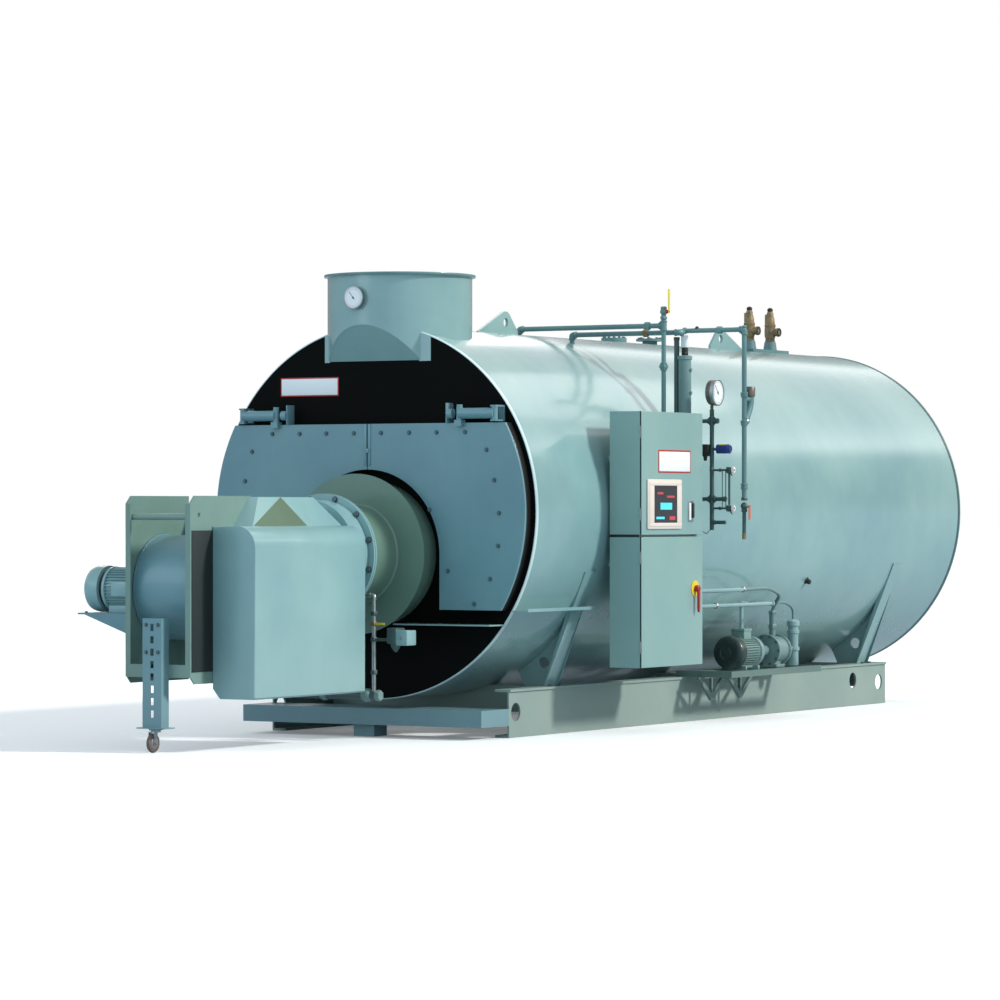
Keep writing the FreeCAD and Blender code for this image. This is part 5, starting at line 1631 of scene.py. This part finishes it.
@dataclass
class PumpSet:
    """Feed pump: motor with its dark cowl, head, strainer and conduits."""

    x: float = 1.300
    axis: float = 0.545
    deck: float = 0.4073

    def motor(self, hardware: Hardware) -> None:
        """Ribbed motor with a cowl that faces the burner end."""
        x, z = self.x, self.axis
        form = Form(COWL_PAINT)
        form.lathe((x, 3.220, z), Axis.Y,
                   [(0.0, 0.0), (0.0, 0.030), (0.004, 0.034), (0.004, 0.060), (0.0, 0.064),
                    (0.0, 0.096), (0.006, 0.118), (0.020, 0.131), (0.040, 0.135),
                    (0.090, 0.135), (0.092, 0.128)], 48)
        form.use(PUMP_PAINT).lathe((x, 3.305, z), Axis.Y,
                                   [(0, 0.100), (0.010, 0.104), (0.290, 0.104),
                                    (0.296, 0.120), (0.345, 0.121), (0.350, 0.09),
                                    (0.380, 0.060), (0.594, 0.040)], 40)
        form.box((x - 0.108, 3.335, self.deck), (x + 0.108, 3.365, self.deck + 0.030), 0.004)
        form.box((x - 0.108, 3.550, self.deck), (x + 0.108, 3.585, self.deck + 0.030), 0.004)
        form.box((x - 0.060, 3.335, self.deck + 0.010), (x + 0.060, 3.585, z - 0.080), 0.006)
        form.box((x - 0.058, 3.405, z + 0.095), (x + 0.058, 3.535, z + 0.172), 0.008)
        form.box((x - 0.062, 3.400, z + 0.166), (x + 0.062, 3.540, z + 0.188), 0.005)
        form.make("pump_motor_casing", "root", ["pump_motor"], "pump_paint")
        hardware.fins("pump_motor_fins", "root", (x, 3.450, z), Axis.Y, 36, 0.112, 0.018,
                      0.004, 0.270, PUMP_PAINT)
        # The cowl's vent slots are dark iron bars on its face, not openings: painted shade of the slots.
        hardware.fins("pump_cowl_slots", "root", (x, 3.2215, z), Axis.Y, 16, 0.080, 0.026,
                      0.006, 0.006, IRON)

    def head(self, hardware: Hardware) -> None:
        """Pump head with its bolted flange, discharge riser and feet."""
        x, z = self.x, self.axis
        form = Form(PUMP_PAINT)
        form.lathe((x, 3.9003, z), Axis.Y,
                   [(0, 0.126), (0.004, 0.130), (0.022, 0.130), (0.026, 0.108),
                    (0.070, 0.100), (0.160, 0.104), (0.200, 0.110), (0.206, 0.124),
                    (0.226, 0.124), (0.230, 0.070), (0.240, 0.060)], 40)
        form.box((x - 0.078, 3.945, self.deck), (x + 0.078, 4.095, self.deck + 0.024), 0.004)
        form.box((x - 0.050, 3.965, self.deck + 0.010), (x + 0.050, 4.075, z - 0.060), 0.004)
        form.run([(x, 4.020, z + 0.060), (x, 4.020, z + 0.318)], 0.025)
        form.nut((x, 4.020, z + 0.170), Axis.Z, 0.036, 0.040)
        form.lathe((x, 4.020, z + 0.094), Axis.Z, [(0, 0.044), (0.016, 0.044)], 24)
        form.nut((x, 4.020, z + 0.292), Axis.Z, 0.034, 0.028)
        form.make("pump_head_casing", "root", ["pump_head"], "pump_paint")
        hardware.bolts("pump_flange_bolts", "root",
                       circle_spots((x, 3.9003, z), Axis.BACK_Y, 0.116, 10), 0.009)

    def strainer(self) -> None:
        """Pale strainer column with bands and its suction pipe."""
        x, y = self.x, 4.400
        form = Form(SHELL_PAINT)
        form.lathe((x, y, self.deck), Axis.Z,
                   [(0, 0.040), (0.010, 0.044), (0.120, 0.042), (0.124, 0.052), (0.150, 0.052),
                    (0.154, 0.042), (0.260, 0.042), (0.264, 0.050), (0.288, 0.050),
                    (0.292, 0.042), (0.322, 0.042), (0.326, 0.053), (0.362, 0.053),
                    (0.380, 0.030), (0.3825, 0.010)], 36)
        form.use(PUMP_PAINT).rod((x, 4.1405, self.axis), (x, 4.372, self.axis), 0.023)
        form.nut((x, 4.200, self.axis), Axis.Y, 0.034, 0.036)
        form.nut((x, 4.290, self.axis), Axis.Y, 0.034, 0.036)
        form.make("strainer_column", "root", ["pump_strainer"], "pipe_steel")

    def conduits(self, hardware: Hardware) -> None:
        """Two conduits from the cabinet, their couplings and the hose to the strainer."""
        form = Form(SHELL_PAINT)
        form.run([(1.520, 2.0505, 1.055), (1.520, 3.100, 1.055)], 0.017)
        form.run([(1.520, 2.0505, 0.935), (1.520, 3.600, 0.935), (1.300, 3.600, 0.935),
                  (1.300, 3.470, 0.935), (1.300, 3.470, 0.7355)], 0.016)
        form.use(SILVER)
        for y, z in ((2.060, 1.055), (2.060, 0.935), (2.600, 0.935), (3.060, 1.055)):
            form.nut((1.520, y, z), Axis.Y, 0.026, 0.030)
        form.make("pump_conduit_pipes", "root", ["pump_conduits"], "conduit_black")
        hardware.hose("pump_hose", "root",
                      [(1.520, 3.090, 1.055), (1.500, 3.560, 1.062), (1.420, 3.930, 1.000),
                       (1.330, 4.020, 0.930), (1.300, 4.020, 0.862)], 0.016, PUMP_PAINT)
        hardware.hose("strainer_hose", "root",
                      [(1.300, 4.020, 0.856), (1.300, 4.080, 0.930), (1.300, 4.250, 0.930),
                       (1.300, 4.400, 0.880), (1.300, 4.400, 0.786)], 0.011, PUMP_PAINT)

    def build(self, hardware: Hardware) -> None:
        """Make the whole set."""
        self.motor(hardware)
        self.head(hardware)
        self.strainer()
        self.conduits(hardware)


@dataclass
class GasTrain:
    """Gas riser, main, shut-off and actuator beside the neck."""

    y: float = -0.600

    def build(self, hardware: Hardware) -> None:
        """Make the pipes and the actuator."""
        y = self.y
        form = Form(DARK_PIPE)
        form.rod((-0.300, y, 0.330), (0.410, y, 0.330), 0.034, 24, 0.002)
        form.use(SILVER).run([(0.374, y, 0.340), (0.374, y, 1.060), (0.222, y, 1.060)], 0.0155)
        form.use(PUMP_PAINT)
        form.ball((0.314, y, 0.330), 0.051)
        form.nut((0.395, y, 0.330), Axis.X, 0.042, 0.038)
        form.nut((-0.080, y, 0.330), Axis.X, 0.044, 0.050)
        form.use(DARK_PIPE)
        for z in (0.500, 0.740, 0.930):
            form.nut((0.374, y, z - 0.016), Axis.Z, 0.028, 0.032)
        form.rod((0.374, y, 0.740), (0.5205, y, 0.740), 0.012)
        form.use(YELLOW).box((0.384, y - 0.010, 0.846), (0.470, y - 0.002, 0.862), 0.003)
        form.use(BRONZE).nut((0.374, y, 0.838), Axis.Z, 0.024, 0.032)
        form.make("gas_piping", "root", ["gas_train"], "pipe_steel")
        box = Form(DARK_PIPE)
        box.box((0.5205, y - 0.062, 0.712), (0.604, y + 0.062, 0.828), 0.008)
        box.lathe((0.562, y, 0.651), Axis.Z, [(0, 0.010), (0.030, 0.030), (0.064, 0.044)], 20)
        box.use(BODY_PAINT).box((0.600, y - 0.066, 0.700), (0.698, y + 0.066, 0.812), 0.008)
        box.use(SILVER).lathe((0.650, y - 0.0655, 0.756), Axis.BACK_Y,
                              [(0, 0.014), (0.002, 0.013), (0.003, 0.008)], 16)
        box.make("gas_actuator_housing", "root", ["gas_actuator"], "control_plastic")


@dataclass
class Skid:
    """Small pieces of the base: rail bolts, pump deck bolts, saddle back webs and the shell's drain plug."""

    def build(self, hardware: Hardware) -> None:
        """Make the plug and the deck bolts."""
        spots = []
        for sign in (1, -1):
            for y in (0.860, 1.000, 6.280, 6.420):
                spots.append(((sign * 1.030, y, 0.357), (0, 0, 1)))
        hardware.bolts("saddle_bolts", "root", spots, 0.014)
        deck = [((x, y, 0.4073), (0, 0, 1)) for x in (1.205, 1.395)
                for y in (3.350, 3.568)]
        hardware.bolts("pump_deck_bolts", "root", deck, 0.009)
        angle = math.radians(-24.1)
        way = Vector((math.cos(angle), 0.0, math.sin(angle)))
        start = Vector((0, 4.690, 1.672)) + way * 1.3995
        # Back webs behind the saddle holes, in the darker pipe paint: a plate set so that the holes show dark, as
        # painted shade.
        webs = Form(PIPE_PAINT)
        for y in (0.998, 6.418):
            for sign in (1, -1):
                outline = [(sign * 0.900, 0.3575), (sign * 1.010, 0.3575),
                           (sign * 1.250, 1.010), (sign * 1.150, 0.880), (sign * 0.960, 0.660)]
                webs.slab(outline[::sign], Axis.Y, y, y + 0.010)
        webs.make("saddle_back_webs", "root")
        plug = Form(IRON)
        plug.lathe(start, way, [(0, 0.030), (0.004, 0.030), (0.010, 0.022), (0.036, 0.020),
                                (0.040, 0.016)], 18)
        plug.make("shell_plug", "root")


# ------------------------------------------------------------------ paint of the plain nodes
NODE_FINISHES: dict[object, tuple[str, ...]] = {
    SHELL_PAINT: ("shell_jacket", "rear_plate", "stack_collar", "lifting_lugs", "saddle_front",
                  "saddle_rear", "cable_tray", "front_shelves",
                  "cabinet_brackets"),
    BLACK_PLATE: ("front_plate",),
    # The doors and the burner-end parts take the darker copy of the body paint, as painted shade.
    SHADED_DOOR_SKIN: ("front_door_right", "front_door_left"),
    SHADED_BODY_PAINT: ("davit_arm_right", "davit_arm_left", "davit_brackets", "front_platform",
                 "fan_scroll", "support_leg", "motor_shelf_bracket"),
    RING_PAINT: ("burner_ring", "burner_neck"),
    PIPE_PAINT: ("top_nozzles",),
    BODY_PAINT: ("burner_flange", "burner_windbox", "air_box",
                 "fan_motor"),
    FAN_PAINT: ("fan_frame",),
    RAIL_PAINT: ("base_rail_right", "base_rail_left", "cross_members"),
    DECK_AND_SHADE_PAINT: ("pump_skid",),
    CABINET_PAINT: ("cabinet_body", "cabinet_door_upper", "cabinet_door_lower"),
    SILVER: ("caster_fork",),
}


def paint_nodes(frame: dict) -> None:
    """Give every carried-over node its finish.
    """
    chosen = {name: finish for finish, names in NODE_FINISHES.items() for name in names}
    for name, node in frame["nodes"].items():
        node.data.materials.clear()
        node.data.materials.append(finish_of(chosen.get(name, BODY_PAINT)))


# ------------------------------------------------------------------ studio
@dataclass
class Studio:
    """Pale floor, soft sky, three large lamps and the camera."""

    camera_place: tuple[float, float, float] = (16.6245, -26.3291, 1.6950)
    heading: float = 30.54
    lens: float = 149.62
    rise: float = 0.00896
    sun_power: float = 2.9
    sun_spread: float = 7.0
    sun_way: Triple = (-1.0, -0.35, -0.70)
    sky_strength: float = 0.95

    def floor(self) -> None:
        """A wide pale floor."""
        shader = Shader("studio_floor")
        shader.set(Base_Color=(0.90, 0.905, 0.905), Roughness=0.8,
                   Emission_Color=(1.0, 1.0, 1.0), Emission_Strength=0.14)
        dim = shader.node("ShaderNodeBsdfDiffuse", {}, (0.38, 0.47, 0.53))
        rays = shader.node("ShaderNodeLightPath", {}, out="Is Camera Ray")
        seen = shader.node("ShaderNodeMixShader", {}, rays, dim,
                           Signal(shader, shader.surface.outputs[0]))
        output = next(n for n in shader.tree.nodes if n.type == "OUTPUT_MATERIAL")
        shader.tree.links.new(seen.socket, output.inputs[0])
        data = bpy.data.meshes.new("studio_floor")
        reach = 260.0
        data.from_pydata([(-reach, -reach, -0.002), (reach, -reach, -0.002),
                          (reach, reach, -0.002), (-reach, reach, -0.002)], [], [(0, 1, 2, 3)])
        data.materials.append(shader.material)
        plane = bpy.data.objects.new("studio_floor", data)
        bpy.context.scene.collection.objects.link(plane)
        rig.stage(plane)

    def sky(self) -> None:
        """A soft sky: bright band above the horizon, cooler towards the burner end."""
        world = bpy.data.worlds.new("studio_sky")
        bpy.context.scene.world = world
        world.use_nodes = True
        tree = world.node_tree
        tree.nodes.clear()
        place = tree.nodes.new("ShaderNodeTexCoord")
        split = tree.nodes.new("ShaderNodeSeparateXYZ")
        tree.links.new(place.outputs["Generated"], split.inputs[0])
        ramp = tree.nodes.new("ShaderNodeValToRGB")
        lift = tree.nodes.new("ShaderNodeMath")
        lift.operation = "MULTIPLY_ADD"
        lift.inputs[1].default_value = 0.5
        lift.inputs[2].default_value = 0.5
        tree.links.new(split.outputs["Z"], lift.inputs[0])
        tree.links.new(lift.outputs[0], ramp.inputs[0])
        stops = [(0.0, 0.60), (0.50, 0.55), (0.53, 0.26), (0.640, 0.22), (0.662, 2.10),
                 (0.70, 0.80), (0.755, 0.55), (0.85, 0.50), (1.0, 0.50)]
        elements = ramp.color_ramp.elements
        while len(elements) > 1:
            elements.remove(elements[-1])
        for index, (where, level) in enumerate(stops):
            stop = elements[0] if index == 0 else elements.new(where)
            stop.position = where
            stop.color = (level, level * 1.01, level * 1.01, 1.0)
        side = tree.nodes.new("ShaderNodeMapRange")
        tree.links.new(split.outputs["Y"], side.inputs["Value"])
        side.inputs["From Min"].default_value = -0.85
        side.inputs["From Max"].default_value = 0.25
        cool = tree.nodes.new("ShaderNodeMix")
        cool.data_type = "RGBA"
        tree.links.new(side.outputs[0], cool.inputs[0])
        cool.inputs[6].default_value = (0.76, 0.97, 1.14, 1.0)
        tree.links.new(ramp.outputs[0], cool.inputs[7])
        light = tree.nodes.new("ShaderNodeBackground")
        light.inputs["Strength"].default_value = self.sky_strength
        tree.links.new(cool.outputs[2], light.inputs["Color"])
        white = tree.nodes.new("ShaderNodeBackground")
        white.inputs["Color"].default_value = (1.0, 1.0, 1.0, 1.0)
        rays = tree.nodes.new("ShaderNodeLightPath")
        choose = tree.nodes.new("ShaderNodeMixShader")
        tree.links.new(rays.outputs["Is Camera Ray"], choose.inputs[0])
        tree.links.new(light.outputs[0], choose.inputs[1])
        tree.links.new(white.outputs[0], choose.inputs[2])
        output = tree.nodes.new("ShaderNodeOutputWorld")
        tree.links.new(choose.outputs[0], output.inputs[0])

    def lamp(self, name: str, place: Triple, aim: Triple, size: float, power: float,
             colour: Colour = (1.0, 1.0, 1.0)) -> None:
        """One large soft lamp."""
        data = bpy.data.lights.new(name, "AREA")
        data.shape = "DISK"
        data.size = size
        data.energy = power
        data.color = colour
        lamp = bpy.data.objects.new(name, data)
        lamp.location = place
        way = Vector(aim) - Vector(place)
        lamp.rotation_mode = "QUATERNION"
        lamp.rotation_quaternion = way.to_track_quat("-Z", "Y")
        bpy.context.scene.collection.objects.link(lamp)

    def build(self) -> None:
        """Set up the whole studio."""
        self.floor()
        self.sky()
        sun = bpy.data.lights.new("key", "SUN")
        sun.energy = self.sun_power
        sun.angle = math.radians(self.sun_spread)
        sun.color = (1.0, 0.985, 0.955)
        lamp = bpy.data.objects.new("key", sun)
        lamp.rotation_mode = "QUATERNION"
        lamp.rotation_quaternion = Vector(self.sun_way).to_track_quat("-Z", "Y")
        bpy.context.scene.collection.objects.link(lamp)
        self.lamp("crest_band", (1.8, 8.9, 7.1), (1.0, 1.2, 2.6), 3.4, 30.0)
        self.lamp("front_fill", (-7.0, -13.0, 7.0), (0.0, 0.0, 1.4), 8.0, 170.0,
                  (0.80, 0.91, 1.0))
        self.lamp("rear_fill", (-9.0, 13.0, 9.0), (0.0, 4.0, 1.5), 9.0, 300.0)
        data = bpy.data.cameras.new("camera")
        data.lens = self.lens
        data.sensor_width = 36.0
        data.shift_y = self.rise
        data.clip_end = 600.0
        camera = bpy.data.objects.new("camera", data)
        camera.location = self.camera_place
        camera.rotation_euler = (math.radians(90), 0.0, math.radians(self.heading))
        bpy.context.scene.collection.objects.link(camera)
        bpy.context.scene.camera = camera
        bpy.context.scene.view_settings.view_transform = "Standard"


def corners(box: tuple[Vector, Vector]) -> list[list[float]]:
    """Two corners as plain lists."""
    return [[round(c, 5) for c in point] for point in box]


def main() -> None:
    """Build the looks in order and note both boxes."""
    logging.basicConfig(level=logging.INFO, format="%(message)s")
    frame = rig.load()
    cad_box = corners(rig.bounds())
    Studio().build()
    paint_nodes(frame)
    hardware = Hardware()
    for assembly in (Shell(), Doors(), Burner(), AirBox(), Fan(), Caster(), Stack(), Cabinet(),
                     TopFittings(), Trim(), PumpSet(), GasTrain(), Skid()):
        LOG.info("building %s", type(assembly).__name__)
        assembly.build(hardware)
    with open("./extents.json", "w", encoding="utf-8") as sizes:
        json.dump({"cad_box": cad_box, "visual_box": corners(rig.bounds())}, sizes)


if __name__ == "__main__":
    main()
